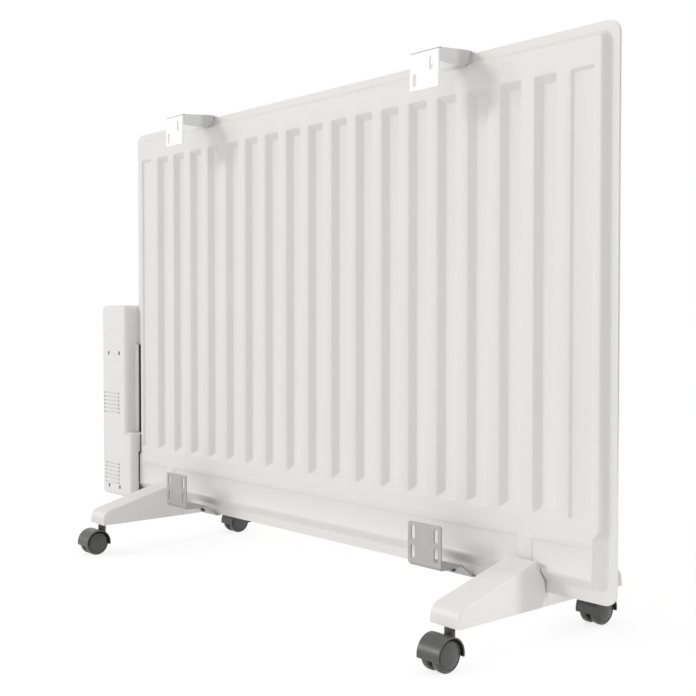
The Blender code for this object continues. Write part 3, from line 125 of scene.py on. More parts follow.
def add_node(tree: NodeTree, kind: str, settings: dict | None = None, links: dict | None = None) -> Node:
    """Adds one node with its settings and its incoming links.

    Args:
        tree: The material's node tree.
        kind: The node's type, without its ShaderNode prefix.
        settings: Values by socket name or number, or by property name.
        links: Output sockets by the name or number of the input that they feed.

    Returns:
        The new node.
    """
    node = tree.nodes.new(f"ShaderNode{kind}")
    for key, value in (settings or {}).items():
        if isinstance(key, str) and hasattr(node, key):
            setattr(node, key, value)
        else:
            node.inputs[key].default_value = value
    for key, source in (links or {}).items():
        tree.links.new(source, node.inputs[key])
    return node


@dataclass(frozen=True)
class Finish:
    """A surface: what it is made of, and what the way it was made leaves on it."""

    name: str
    colour: str
    roughness: float
    metallic: float = 0.0
    ior: float = 1.5
    coat: float = 0.0
    # cloudy patches: their width, and how much darker and rougher the worst of one is
    patch: float = 10 * MM
    darker: float = 0.0
    rougher: float = 0.0
    # the grain: its width, how much denser it is along each axis, its noise, and its relief
    grain: float = 1 * MM
    stretch: Triple = (1, 1, 1)
    octaves: float = 2.0
    persistence: float = 0.5
    strength: float = 0.0
    depth: float = 0.0

    def material(self) -> Material:
        """Finds or builds the material.

        Returns:
            The material, which all pieces of this finish share.
        """
        made = bpy.data.materials.get(self.name)
        if made:
            return made
        made = bpy.data.materials.new(self.name)
        made.use_nodes = True
        made.diffuse_color = linear(self.colour)
        tree = made.node_tree
        shader = tree.nodes["Principled BSDF"]
        for socket, value in (("Base Color", linear(self.colour)), ("Roughness", self.roughness),
                              ("Metallic", self.metallic), ("IOR", self.ior), ("Coat Weight", self.coat)):
            shader.inputs[socket].default_value = value
        self.detail(tree, shader)
        return made

    def detail(self, tree: NodeTree, shader: Node) -> None:
        """Adds what the process leaves on the surface: patches, and a grain where it has one.

        Args:
            tree: The material's node tree.
            shader: The shader that takes them.
        """
        self.mottle(tree, shader)
        if not self.strength:
            return
        height = self.pattern(tree, self.place(tree, self.stretch))
        bump = add_node(tree, "Bump", {"Strength": self.strength, "Distance": self.depth}, {"Height": height})
        tree.links.new(bump.outputs["Normal"], shader.inputs["Normal"])

    def place(self, tree: NodeTree, stretch: Triple = (1, 1, 1)) -> NodeSocket:
        """Gives the surface's own place in metres, stretched along each axis.

        Args:
            tree: The material's node tree.
            stretch: How many times denser a pattern is along X, Y and Z.

        Returns:
            The vector socket.
        """
        here = add_node(tree, "TexCoord")
        mapped = add_node(tree, "Mapping", {"Scale": stretch}, {"Vector": here.outputs["Object"]})
        return mapped.outputs["Vector"]

    def mottle(self, tree: NodeTree, shader: Node) -> None:
        """Varies the colour and the shine a little over the patches.

        Args:
            tree: The material's node tree.
            shader: The shader that takes the values.
        """
        noise = add_node(tree, "TexNoise", {"Scale": 1 / self.patch, "Detail": 3.0},
                         {"Vector": self.place(tree)})
        spans = []
        for least, most in ((1 - self.darker, 1.0), (self.roughness, self.roughness + self.rougher)):
            limits = {"From Min": NOISE_LOW, "From Max": NOISE_HIGH, "To Min": least, "To Max": most}
            span = add_node(tree, "MapRange", limits, {"Value": noise.outputs["Fac"]})
            spans.append(span.outputs["Result"])
        mixed = add_node(tree, "Mix", {"data_type": "RGBA", "blend_type": "MULTIPLY", 0: 1.0,
                                       6: linear(self.colour)}, {7: spans[0]})
        tree.links.new(mixed.outputs[2], shader.inputs["Base Color"])
        tree.links.new(spans[1], shader.inputs["Roughness"])

    def pattern(self, tree: NodeTree, where: NodeSocket) -> NodeSocket:
        """The grain's height, from 0 to 1, as noise of the grain's width."""
        settings = {"Scale": 1 / self.grain, "Detail": self.octaves, "Roughness": self.persistence}
        return add_node(tree, "TexNoise", settings, {"Vector": where}).outputs["Fac"]


@dataclass(frozen=True)
class StovedEnamel(Finish):
    """Powder enamel stoved on pressed steel: satin, with the faint orange peel of a melted coat."""

    patch: float = 160 * MM
    darker: float = 0.012
    rougher: float = 0.05
    # real peel repeats every 2 to 3 mm, and is drawn at 3 mm so that it just shows
    grain: float = 3 * MM
    octaves: float = 1.0
    persistence: float = 0.4
    strength: float = 0.10
    depth: float = 0.12 * MM


@dataclass(frozen=True)
class EnamelWithPaintedShade(StovedEnamel):
    """The same enamel on a bracket, with painted shade: grey on the strap's under side and web, deeper
    towards the panel, and a dark grey line along the fold.
    """

    # the dark grey of the painted shade line along the fold
    fold_shade: str = "#5E5E5C"
    # the strap climbs 0.108 mm for each mm towards the panel, and the painted shade line along the fold
    # follows it
    climb: float = 0.108
    fold: float = 689.2 * MM
    fold_start: float = 61.6 * MM
    fade: float = 0.3 * MM
    # painted shade: the strap's under side and web are grey, a deeper grey towards the panel
    painted_shade: str = "#E5E5E4"
    deep_painted_shade: str = "#CCCCCB"
    hook: float = 3 * MM
    plate: float = 63.8 * MM
    deep_shade_span: Point = (24 * MM, 34 * MM)
    # how far up a face looks, as its normal's Z, where the painted shade starts and where it is full
    facing_up: Point = (0.5, 0.2)

    def detail(self, tree: NodeTree, shader: Node) -> None:
        """Adds painted shade to the enamel: grey under the strap and on the web, and a dark grey line along
        the fold.

        Args:
            tree: The material's node tree.
            shader: The shader that takes the colour.
        """
        super().detail(tree, shader)
        enamel = shader.inputs["Base Color"].links[0].from_socket
        where = self.place(tree)
        normal = add_node(tree, "NewGeometry").outputs["Normal"]
        back, up = (0, 1, 0), (0, 0, 1)
        # painted shade: grey on the strap's under side and web between hook and plate, deeper grey towards
        # the panel
        near = self.within(tree, [(where, back, self.deep_shade_span)])
        grey = add_node(tree, "Mix", {"data_type": "RGBA", 6: linear(self.deep_painted_shade), 7: linear(self.painted_shade)},
                        {0: near})
        behind = self.within(tree, [(where, back, (self.hook, self.hook + self.fade)),
                                    (where, back, (self.plate + self.fade, self.plate)),
                                    (normal, up, self.facing_up)])
        coat = add_node(tree, "Mix", {"data_type": "RGBA"}, {0: behind, 6: enamel, 7: grey.outputs[2]})
        # painted shade: a dark grey line along the top of the fold by the plate
        fold_shade_share = self.within(tree, [(where, (0, self.climb, 1), (self.fold, self.fold + self.fade)),
                                    (where, back, (self.fold_start, self.fold_start + self.fade))])
        mixed = add_node(tree, "Mix", {"data_type": "RGBA", 7: linear(self.fold_shade)},
                         {0: fold_shade_share, 6: coat.outputs[2]})
        tree.links.new(mixed.outputs[2], shader.inputs["Base Color"])

    def within(self, tree: NodeTree, limits: Sequence[tuple[NodeSocket, Triple, Point]]) -> NodeSocket:
        """Gives 1 where every limit is passed, and 0 where one isn't reached.

        Args:
            tree: The material's node tree.
            limits: For each limit a vector, the way it is measured along, and where it starts and ends.

        Returns:
            The share, from 0 to 1.
        """
        share = None
        for vector, way, (start, end) in limits:
            level = add_node(tree, "VectorMath", {"operation": "DOT_PRODUCT", 1: way}, {0: vector})
            span = add_node(tree, "MapRange", {"From Min": start, "From Max": end},
                            {"Value": level.outputs["Value"]}).outputs["Result"]
            if share:
                span = add_node(tree, "Math", {"operation": "MULTIPLY"}, {0: share, 1: span}).outputs[0]
            share = span
        return share


@dataclass(frozen=True)
class MouldedAbs(Finish):
    """Injection-moulded ABS: satin, with the fine grain of a spark-eroded tool."""

    patch: float = 90 * MM
    darker: float = 0.010
    rougher: float = 0.04
    # tool grain is about 0.3 mm, and is drawn at 0.9 mm to show at all
    grain: float = 0.9 * MM
    strength: float = 0.06
    depth: float = 0.05 * MM

    def pattern(self, tree: NodeTree, where: NodeSocket) -> NodeSocket:
        """The eroded grain's height, as soft pits side by side."""
        settings = {"Scale": 1 / self.grain, "feature": "SMOOTH_F1"}
        return add_node(tree, "TexVoronoi", settings, {"Vector": where}).outputs["Distance"]


@dataclass(frozen=True)
class FilledNylon(Finish):
    """Glass-filled nylon from a polished tool: dark, glossy, with faint flow lines and scuffs."""

    patch: float = 14 * MM
    darker: float = 0.10
    rougher: float = 0.10
    # flow lines run along the draw, about 4 mm apart
    grain: float = 4 * MM
    stretch: Triple = (1, 1, 0.2)
    octaves: float = 4.0
    strength: float = 0.08
    depth: float = 0.06 * MM


@dataclass(frozen=True)
class ZincPlate(Finish):
    """Zinc-plated sheet steel, rolled: grey and half matt, clouded by the bath, with drawn lines."""

    patch: float = 12 * MM
    darker: float = 0.06
    rougher: float = 0.10
    # rolling lines are about 0.4 mm apart, and are drawn at 1 mm to show
    grain: float = 1 * MM
    stretch: Triple = (1, 1, 0.04)
    strength: float = 0.05
    depth: float = 0.04 * MM


@dataclass(frozen=True)
class TurnedMetal(Finish):
    """Metal turned or headed from bar: bright, with tool marks that are only a hint of relief."""

    patch: float = 6 * MM
    darker: float = 0.08
    rougher: float = 0.12
    # the tool's feed is about 0.15 mm, and is drawn at 0.6 mm to show
    grain: float = 0.6 * MM
    strength: float = 0.08
    depth: float = 0.03 * MM


@dataclass(frozen=True)
class PrintedInk(Finish):
    """Pad-printed ink: matt and too thin for a grain, but uneven where the pad left less of it."""

    patch: float = 1.5 * MM
    darker: float = 0.10
    rougher: float = 0.08


@dataclass(frozen=True)
class MouldedRubber(Finish):
    """Moulded rubber: matt and black, with a dusty bloom."""

    patch: float = 5 * MM
    darker: float = 0.20
    rougher: float = 0.08
    # the bloom gathers in specks of about 0.8 mm
    grain: float = 0.8 * MM
    octaves: float = 3.0
    strength: float = 0.15
    depth: float = 0.08 * MM


PANEL_ENAMEL = StovedEnamel("stoved_enamel_white", "#E6E4E1", 0.50)
# the white plate, with painted shade under the strap, on the web and along the fold
BRACKET_ENAMEL = EnamelWithPaintedShade("powder_coat_bright_white", "#FBFBFA", 0.40, coat=0.05)
SHELL_ABS = MouldedAbs("moulded_abs_white", "#E7E6E3", 0.46)
FOOT_ABS = MouldedAbs("moulded_abs_foot_white", "#E7E6E4", 0.42)
KNOB_ABS = MouldedAbs("moulded_abs_knob", "#E9E8E6", 0.26, coat=0.15)
CASTER_NYLON = FilledNylon("filled_nylon_dark_grey", "#4E4E4D", 0.26, coat=0.1)
WHEEL_NYLON = FilledNylon("filled_nylon_wheel", "#4A4A49", 0.27, coat=0.1)
# near-black and barely reflecting: paints the shade in the gap between hood and wheel
SHADE_RING_NYLON = FilledNylon("filled_nylon_guard_black", "#050505", 0.80, ior=1.3)
BOSS_NYLON = FilledNylon("filled_nylon_black", "#161616", 0.18, ior=1.53, coat=0.4)
ROCKER_NYLON = FilledNylon("filled_nylon_switch_black", "#141414", 0.20, ior=1.53)
BLACK_ABS = MouldedAbs("moulded_abs_black", "#1A1A1A", 0.42)
CREAM_PHENOLIC = MouldedAbs("moulded_phenolic_cream", "#D8D0B8", 0.45)
SEAL_RUBBER = MouldedRubber("moulded_rubber_black", "#222220", 0.78)
PLATED_STEEL = ZincPlate("zinc_plated_sheet", "#B2B1AF", 0.46, metallic=0.85)
PLATED_FASTENER = TurnedMetal("zinc_plated_fastener", "#A9A8A6", 0.30, metallic=1.0)
DIAL_INK = PrintedInk("pad_printed_grey_ink", "#6E6E6C", 0.55)
PLUG_BRASS = TurnedMetal("turned_brass", "#C9A557", 0.28, metallic=1.0)


def arc(middle: Point, radius: float, start: float, end: float, steps: int) -> list[Point]:
    """Points along an arc.

    Args:
        middle: The arc's centre.
        radius: Its radius.
        start: The first angle, in degrees.
        end: The last angle, in degrees.
        steps: How many chords it has.

    Returns:
        The points, both ends included.
    """
    angles = [math.radians(start + (end - start) * step / steps) for step in range(steps + 1)]
    return [(middle[0] + radius * math.cos(a), middle[1] + radius * math.sin(a)) for a in angles]


def heading(a: Point, b: Point) -> Point:
    """The unit direction from a to b."""
    length = math.hypot(b[0] - a[0], b[1] - a[1])
    return (b[0] - a[0]) / length, (b[1] - a[1]) / length


def rounded(corners: Outline, radii: Sequence[float], steps: int, closed: bool = True) -> list[Point]:
    """Rounds the corners of an outline.

    Args:
        corners: Its corners in order.
        radii: One radius for each corner; 0 leaves it sharp.
        steps: How many chords a rounded corner has.
        closed: False for a path, whose two ends stay as they are.

    Returns:
        The rounded outline's points.
    """
    points: list[Point] = []
    count = len(corners)
    for i, (corner, radius) in enumerate(zip(corners, radii)):
        if not radius or (not closed and i in (0, count - 1)):
            points.append(corner)
            continue
        into = heading(corners[i - 1], corner)
        out = heading(corner, corners[(i + 1) % count])
        turn = math.atan2(into[0] * out[1] - into[1] * out[0], into[0] * out[0] + into[1] * out[1])
        reach = radius * math.tan(abs(turn) / 2)
        start = (corner[0] - into[0] * reach, corner[1] - into[1] * reach)
        bend = math.copysign(radius, turn)
        middle = (start[0] - into[1] * bend, start[1] + into[0] * bend)
        first = math.degrees(math.atan2(start[1] - middle[1], start[0] - middle[0]))
        points += arc(middle, radius, first, first + math.degrees(turn), steps)
    return points


def inset(corners: Outline, margin: float) -> list[Point]:
    """Moves an anticlockwise outline inwards.

    Args:
        corners: Its corners in order.
        margin: How far it moves.

    Returns:
        The corners of the smaller outline.
    """
    moved = []
    for i, corner in enumerate(corners):
        into = heading(corners[i - 1], corner)
        out = heading(corner, corners[(i + 1) % len(corners)])
        turn = into[0] * out[1] - into[1] * out[0]
        slip = (1 - into[0] * out[0] - into[1] * out[1]) / turn
        moved.append((corner[0] - margin * into[1] - margin * into[0] * slip,
                      corner[1] + margin * into[0] - margin * into[1] * slip))
    return moved


def mesh_from(name: str, bm: BMesh) -> Mesh:
    """Turns a bmesh into a mesh with its faces pointing out.

    Args:
        name: The mesh's name.
        bm: The bmesh, which is freed.

    Returns:
        The mesh.
    """
    bmesh.ops.recalc_face_normals(bm, faces=bm.faces)
    mesh = bpy.data.meshes.new(name)
    bm.to_mesh(mesh)
    bm.free()
    return mesh


def smooth(mesh: Mesh, angle: float = 32.0) -> Mesh:
    """Shades a mesh smooth, apart from its sharp edges.

    Args:
        mesh: The mesh, which is changed.
        angle: The least angle of a sharp edge, in degrees.

    Returns:
        The same mesh.
    """
    mesh.shade_smooth()
    mesh.set_sharp_from_angle(angle=math.radians(angle))
    return mesh


def prism(name: str, points: Outline, depth: float, lie: Lie, middle: float = 0.0) -> Mesh:
    """Gives a closed outline a depth.

    Args:
        name: The mesh's name.
        points: The outline.
        depth: The depth, in metres.
        lie: How the outline lies.
        middle: Where the middle of the depth is, along the third direction.

    Returns:
        The closed mesh.
    """
    bm = bmesh.new()
    base = [bm.verts.new((a, b, middle - depth / 2)) for a, b in points]
    top = [bm.verts.new((a, b, middle + depth / 2)) for a, b in points]
    bm.faces.new(base[::-1])
    bm.faces.new(top)
    for i in range(len(points)):
        j = (i + 1) % len(points)
        bm.faces.new((base[i], base[j], top[j], top[i]))
    bmesh.ops.transform(bm, matrix=lie.value, verts=bm.verts)
    return mesh_from(name, bm)


def block(name: str, low: Sequence[float], high: Sequence[float]) -> Mesh:
    """A plain box for cutting, from its lowest to its highest corner."""
    outline = [(low[0], low[1]), (high[0], low[1]), (high[0], high[1]), (low[0], high[1])]
    return prism(name, outline, high[2] - low[2], Lie.FLAT, (low[2] + high[2]) / 2)


def rod(name: str, radius: float, span: Point, lie: Lie, place: Point = (0, 0), sides: int = 40) -> Mesh:
    """A round rod.

    Args:
        name: The mesh's name.
        radius: The rod's radius.
        span: Where it starts and ends along its axis.
        lie: How its round outline lies.
        place: The middle of the outline.
        sides: How many flats it has.

    Returns:
        The closed mesh.
    """
    start, end = (-span[1], -span[0]) if lie is Lie.ACROSS else span
    outline = arc(place, radius, 0, 360 - 360 / sides, sides - 1)
    return prism(name, outline, end - start, lie, (start + end) / 2)


def lathe(name: str, profile: Outline, turn: Matrix, steps: int) -> Mesh:
    """Turns a profile of (radius, height) points all the way round its axis.

    Args:
        name: The mesh's name.
        profile: The points, from one end of the axis to the other, or closed.
        turn: What the Z axis is turned by.
        steps: How many flats the round has.

    Returns:
        The closed mesh.
    """
    bm = bmesh.new()
    angles = [math.tau * step / steps for step in range(steps)]
    rings = []
    for radius, height in profile:
        if radius < TINY:
            rings.append([bm.verts.new((0, 0, height))])
            continue
        rings.append([bm.verts.new((radius * math.cos(a), radius * math.sin(a), height)) for a in angles])
    for lower, upper in zip(rings, rings[1:]):
        for i in range(steps):
            j = (i + 1) % steps
            corners = list(dict.fromkeys((lower[i % len(lower)], lower[j % len(lower)],
                                          upper[j % len(upper)], upper[i % len(upper)])))
            if len(corners) > 2:
                bm.faces.new(corners)
    bmesh.ops.remove_doubles(bm, verts=bm.verts, dist=TINY)
    bmesh.ops.transform(bm, matrix=turn, verts=bm.verts)
    return smooth(mesh_from(name, bm))


def at_depth(y: float) -> EdgeTest:
    """A test that is true of an edge whose two ends are at a y."""
    return lambda a, b: abs(a.y - y) < HAIR and abs(b.y - y) < HAIR


def round_edges(mesh: Mesh, radius: float, steps: int, chosen: EdgeTest, corners: bool = False) -> Mesh:
    """Rounds some edges of a mesh, or the flat corners of an open one.

    Args:
        mesh: The mesh, which is changed.
        radius: The radius of the rounding.
        steps: How many chords it has.
        chosen: Is true of the two ends of an edge to round, or of a corner, given twice.
        corners: True to round corners.

    Returns:
        The same mesh.
    """
    bm = bmesh.new()
    bm.from_mesh(mesh)
    if corners:
        geometry, kind = [vert for vert in bm.verts if chosen(vert.co, vert.co)], "VERTICES"
    else:
        geometry, kind = [edge for edge in bm.edges if chosen(*(vert.co for vert in edge.verts))], "EDGES"
    bmesh.ops.bevel(bm, geom=geometry, offset=radius, segments=steps, affect=kind, profile=CIRCULAR)
    if not corners:
        bmesh.ops.recalc_face_normals(bm, faces=bm.faces)
    bm.to_mesh(mesh)
    bm.free()
    return mesh


def merged(name: str, meshes: Sequence[Mesh]) -> Mesh:
    """Puts several meshes into one, each still closed by itself.

    Args:
        name: The new mesh's name.
        meshes: What goes into it.

    Returns:
        The new mesh.
    """
    bm = bmesh.new()
    for mesh in meshes:
        bm.from_mesh(mesh)
    made = bpy.data.meshes.new(name)
    bm.to_mesh(made)
    bm.free()
    return made


@dataclass
class Bench:
    """Makes pieces, and fits each in the place of the frame's plainer one."""

    centre_x: float
    seam_y: float

    @classmethod
    def from_frame(cls) -> "Bench":
        """Reads the middle of the panel from the frame.

        Returns:
            A bench whose origin is on the floor, under the middle of the panel's seam.
        """
        low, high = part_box("rear_sheet")
        return cls((low.x + high.x) / 2, (low.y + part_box("front_sheet")[1].y) / 2)

    @property
    def origin(self) -> Vector:
        """The floor under the middle of the panel's seam."""
        return Vector((self.centre_x, self.seam_y, 0))

    def below(self, node: str) -> Vector:
        """The floor under the middle of a node, at the panel's seam."""
        low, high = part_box(node)
        return Vector(((low.x + high.x) / 2, self.seam_y, 0))

    def piece(self, name: str, mesh: Mesh, finish: Finish, node: str, slot: str,
              place: Vector | None = None, added: bool = False) -> Object:
        """Makes a piece and fits it in the place of a node, or beside it.

        Args:
            name: The piece's name.
            mesh: Its mesh, about the place.
            finish: Its finish.
            node: The frame's node that it stands for, or that carries it.
            slot: The record's material slot; not used.
            place: Where the mesh's origin goes; the bench's origin by default.
            added: True of a piece that the frame has no node for.

        Returns:
            The piece, riding on the node's body.
        """
        made = bpy.data.objects.new(name, mesh)
        bpy.context.scene.collection.objects.link(made)
        made.location = self.origin if place is None else place
        made.data.materials.clear()
        made.data.materials.append(finish.material())
        if not added:
            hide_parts(node)
        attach(made, frame["nodes"][node]["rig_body"])
        log.info("%s %s %s in %s", name, "rides with" if added else "stands for", node, finish.name)
        return made

    def tool(self, target: Object, mesh: Mesh, operation: str = "DIFFERENCE") -> None:
        """Cuts a mesh from a piece, or adds it, where the piece is.

        Args:
            target: The piece.
            mesh: The tool's mesh, about the piece's own origin.
            operation: The Boolean's operation.
        """
        tool = bpy.data.objects.new(f"{target.name}_tool", mesh)
        bpy.context.scene.collection.objects.link(tool)
        tool.parent = target
        tool.hide_render = True
        tool.hide_viewport = True
        modifier = target.modifiers.new(mesh.name, "BOOLEAN")
        modifier.operation = operation
        modifier.solver = "EXACT"
        modifier.object = tool

    def cut(self, target: Object, *meshes: Mesh) -> None:
        """Cuts meshes from a piece, in their order."""
        for mesh in meshes:
            self.tool(target, mesh)

    def ease(self, target: Object, width: float, steps: int = 2, angle: float = 50.0) -> None:
        """Takes the sharpness off a piece's edges, and evens the shading of its flats.

        Args:
            target: The piece.
            width: The width of the eased edge.
            steps: How many chords it has.
            angle: The least angle that is eased, in degrees.
        """
        bevel = target.modifiers.new("eased edges", "BEVEL")
        bevel.width = width
        bevel.segments = steps
        bevel.limit_method = "ANGLE"
        bevel.angle_limit = math.radians(angle)
        target.data.shade_smooth()
        even = target.modifiers.new("even shading", "WEIGHTED_NORMAL")
        even.keep_sharp = True
        even.weight = FLAT_WEIGHT

    def dress(self, finish: Finish, *nodes: str) -> None:
        """Gives nodes of the frame, whose shapes are right, their finish.

        Args:
            finish: The finish.
            nodes: The nodes' names.
        """
        for node in nodes:
            for holder in frame["nodes"][node].material_slots:
                holder.link = "OBJECT"
                holder.material = finish.material()
            log.info("%s is dressed in %s", node, finish.name)


@dataclass(frozen=True)
class PanelSizes:
    """The panel's own sizes, which the parts round it take over."""

    half: float = 492.5 * MM
    bottom: float = 63 * MM
    top: float = 687 * MM
    # how far the flange's face is from the seam, and how far the field rises above it
    flange_face: float = 1.45 * MM
    rise: float = 9.5 * MM
    flange: float = 10 * MM
    flange_bottom: float = 13.5 * MM
    flange_box_end: float = 16.5 * MM
    wall: float = 6 * MM
    wall_bottom: float = 11.5 * MM
    inlet_bulge: float = 10 * MM
    inlet_high: float = 78 * MM

    @property
    def field_face(self) -> float:
        """How far the field's face is from the seam."""
        return self.flange_face + self.rise

    @property
    def inlet(self) -> float:
        """The height up to which the dish bulges towards the box."""
        return self.bottom + self.inlet_high


PANEL = PanelSizes()


class Trough(NamedTuple):
    """What is pressed back into the dish: its limits, wall, depth and corner radius."""

    x0: float
    x1: float
    z0: float
    z1: float
    wall: float
    depth: float
    radius: float


@dataclass
class PressedPanel:
    """The two pressed sheets: a flange, a dish, and the channels pressed back into it."""

    bench: Bench
    corner: float = 15 * MM
    sheet: float = 1.2 * MM
    rim_angle: float = 70.0
    shade_angle: float = 50.0
    dish_corner: float = 11 * MM
    inlet_step: float = 6 * MM
    end_notch: float = 9 * MM
    notch_high: float = 69.5 * MM
    notch_step: float = 10.5 * MM
    channels: int = 17
    pitch: float = 50 * MM
    shift: float = -2.5 * MM
    channel: float = 32.7 * MM
    channel_wall: float = 8.8 * MM
    channel_depth: float = 8 * MM
    channel_low: float = 88 * MM
    channel_high: float = 46 * MM
    channel_corner: float = 4 * MM
    shallow_wall: float = 3.5 * MM
    shallow_depth: float = 3 * MM
    pocket_low: float = 28 * MM
    pocket_high: float = 61 * MM
    pocket_depth: float = 1.4 * MM
    pocket_wall: float = 2 * MM
    pocket_half: float = 367 * MM
    side_pocket: Point = (385 * MM, 466 * MM)
    softness: float = 0.09
    # how many lines the grid has on a wall, and how wide and how fine it is along the rim
    wall_lines: int = 9
    border: Point = (30 * MM, 1.5 * MM)
    plug_radius: float = 8.8 * MM
    plug_inset: float = 22.3 * MM
    plug_height: float = 106 * MM

    def build(self) -> None:
        """Presses both sheets and hangs them on the seam."""
        for side, word in ((Side.REAR, "rear"), (Side.FRONT, "front")):
            sheet = self.bench.piece(f"{word}_sheet_pressing", self.pressing(side), PANEL_ENAMEL,
                                     f"{word}_sheet", "panel_enamel")
            skin = sheet.modifiers.new("sheet steel", "SOLIDIFY")
            skin.thickness = self.sheet
            skin.offset = -1
            rim = sheet.modifiers.new("rolled rim", "BEVEL")
            rim.width = HAIR
            rim.segments = 2
            rim.limit_method = "ANGLE"
            rim.angle_limit = math.radians(self.rim_angle)
            hole = rod("plug_hole", self.plug_radius, (PANEL.half - self.plug_inset, PANEL.half + OVERRUN),
                       Lie.ALONG, (0, self.plug_height))
            self.bench.cut(sheet, hole)

    def troughs(self) -> list[Trough]:
        """Lists what is pressed back into the dish.

        Returns:
            The channels from the far end to the box, and then the pockets.
        """
        found = []
        last = (self.channels + 1) / 2
        low, high = PANEL.bottom + self.channel_low, PANEL.top - self.channel_high
        for index in range(self.channels + 2):
            x = (index - last) * self.pitch + self.shift
            at_end = index in (0, self.channels + 1)
            wall = self.shallow_wall if at_end else self.channel_wall
            depth = self.shallow_depth if at_end else self.channel_depth
            found.append(Trough(x - self.channel / 2, x + self.channel / 2, low, high, wall, depth,
                                self.channel_corner))
        low, high = PANEL.bottom + self.pocket_low, PANEL.bottom + self.pocket_high
        start, end = self.side_pocket
        for x0, x1 in ((-end, -start), (-self.pocket_half, self.pocket_half), (start, end)):
            found.append(Trough(x0, x1, low, high, self.pocket_wall, self.pocket_depth, self.pocket_wall))
        return found

    def soft_rise(self, value: np.ndarray) -> np.ndarray:
        """A straight rise from 0 that starts softly."""
        bent = (value + self.softness) ** 2 / (4 * self.softness)
        return np.where(value < -self.softness, 0, np.where(value > self.softness, value, bent))

    def slope(self, share: np.ndarray) -> np.ndarray:
        """A pressed wall's rise, from 0 to 1, with a soft bend at its foot and at its top."""
        return self.soft_rise(share) - self.soft_rise(share - 1)

    def depth_inside(self, dx: np.ndarray, dz: np.ndarray, radius: float) -> np.ndarray:
        """How far inside a round-cornered outline points are.

        Args:
            dx: Their distance inside its nearer upright edge.
            dz: Their distance inside its nearer level edge.
            radius: The corners' radius.

        Returns:
            The distance, negative outside.
        """
        corner = radius - np.hypot(np.maximum(0, radius - dx), np.maximum(0, radius - dz))
        return np.where((dx < radius) & (dz < radius), corner, np.minimum(dx, dz))

    def level(self, x: np.ndarray, z: np.ndarray) -> np.ndarray:
        """The height of the pressing above its flange.

        Args:
            x: The points' x.
            z: The points' z.

        Returns:
            The height at each point.
        """
        bulge = PANEL.inlet_bulge * self.slope((PANEL.inlet - z) / self.inlet_step)
        notch_top = PANEL.bottom + self.notch_high + self.notch_step
        notch = self.end_notch * self.slope((notch_top - z) / self.notch_step)
        left = x + PANEL.half - PANEL.flange
        right = PANEL.half - PANEL.flange_box_end + bulge - x
        low = z - PANEL.bottom - PANEL.flange_bottom
        high = PANEL.top - PANEL.flange - z
        run_x = np.where(left < right, PANEL.wall + notch, PANEL.wall)
        run_z = np.where(low < high, PANEL.wall_bottom, PANEL.wall)
        dx, dz = np.minimum(left, right), np.minimum(low, high)
        share = np.minimum(dx / run_x, dz / run_z)
        corner = self.depth_inside(dx, dz, self.dish_corner)
        near = (dx < self.dish_corner) & (dz < self.dish_corner)
        share = np.where(near, np.minimum(share, corner / np.minimum(run_x, run_z)), share)
        height = PANEL.rise * self.slope(share)
        for x0, x1, z0, z1, wall, depth, radius in self.troughs():
            inside = self.depth_inside(np.minimum(x - x0, x1 - x), np.minimum(z - z0, z1 - z), radius)
            height = height - depth * self.slope(inside / wall)
        return height

    def lines(self, spans: Sequence[Point], limits: Point) -> np.ndarray:
        """Where the grid's lines go along one axis.

        Args:
            spans: Where the pressed walls start and end.
            limits: The panel's two ends.

        Returns:
            The places in order, close together on the walls and far apart on the flats.
        """
        places = [np.array(limits)]
        for start, end in spans:
            soft = (end - start) * self.softness
            places.append(np.linspace(start - soft, end + soft, self.wall_lines))
        border = np.arange(0, *self.border)
        places += [limits[0] + border, limits[1] - border]
        sorted_places = np.unique(np.concatenate(places))
        kept = [sorted_places[0]]
        for place in sorted_places[1:]:
            if place - kept[-1] > HAIR:
                kept.append(place)
        kept[-1] = limits[1]
        return np.array(kept)

    def pressing(self, side: Side) -> Mesh:
        """Presses one sheet.

        Args:
            side: The side that it faces.

        Returns:
            The sheet's outer face as an open mesh.
        """
        spans_x, spans_z = [], []
        for x0, x1, z0, z1, wall, _, _ in self.troughs():
            spans_x += [(x0, x0 + wall), (x1 - wall, x1)]
            spans_z += [(z0, z0 + wall), (z1 - wall, z1)]
        notch = PANEL.bottom + self.notch_high
        spans_z += [(PANEL.inlet - self.inlet_step, PANEL.inlet), (notch, notch + self.notch_step)]
        xs = self.lines(sorted(set(spans_x)), (-PANEL.half, PANEL.half))
        zs = self.lines(sorted(set(spans_z)), (PANEL.bottom, PANEL.top))
        x, z = self.round_off(*np.meshgrid(xs, zs))
        y = (PANEL.flange_face + self.level(x, z)) * side.value
        points = np.stack([x, y, z], axis=-1).reshape(-1, 3)
        mesh = bpy.data.meshes.new(f"{side.name.lower()}_sheet_pressing")
        mesh.from_pydata(points.tolist(), [], self.faces(x, z, y, side))
        mesh.validate()
        return smooth(mesh, self.shade_angle)

    def round_off(self, x: np.ndarray, z: np.ndarray) -> tuple[np.ndarray, np.ndarray]:
        """Draws the grid's four corners in to the sheet's round corners.

        Args:
            x: The points' x.
            z: The points' z.

        Returns:
            The moved points' x and z.
        """
        middle = (PANEL.bottom + PANEL.top) / 2
        over_x = np.abs(x) - (PANEL.half - self.corner)
        over_z = np.abs(z - middle) - ((PANEL.top - PANEL.bottom) / 2 - self.corner)
        inside = (over_x > 0) & (over_z > 0)
        reach = np.maximum(np.hypot(over_x, over_z), TINY)
        scale = np.where(inside, np.maximum(over_x, over_z) / reach, 1)
        return (np.where(inside, x - np.sign(x) * over_x * (1 - scale), x),
                np.where(inside, z - np.sign(z - middle) * over_z * (1 - scale), z))

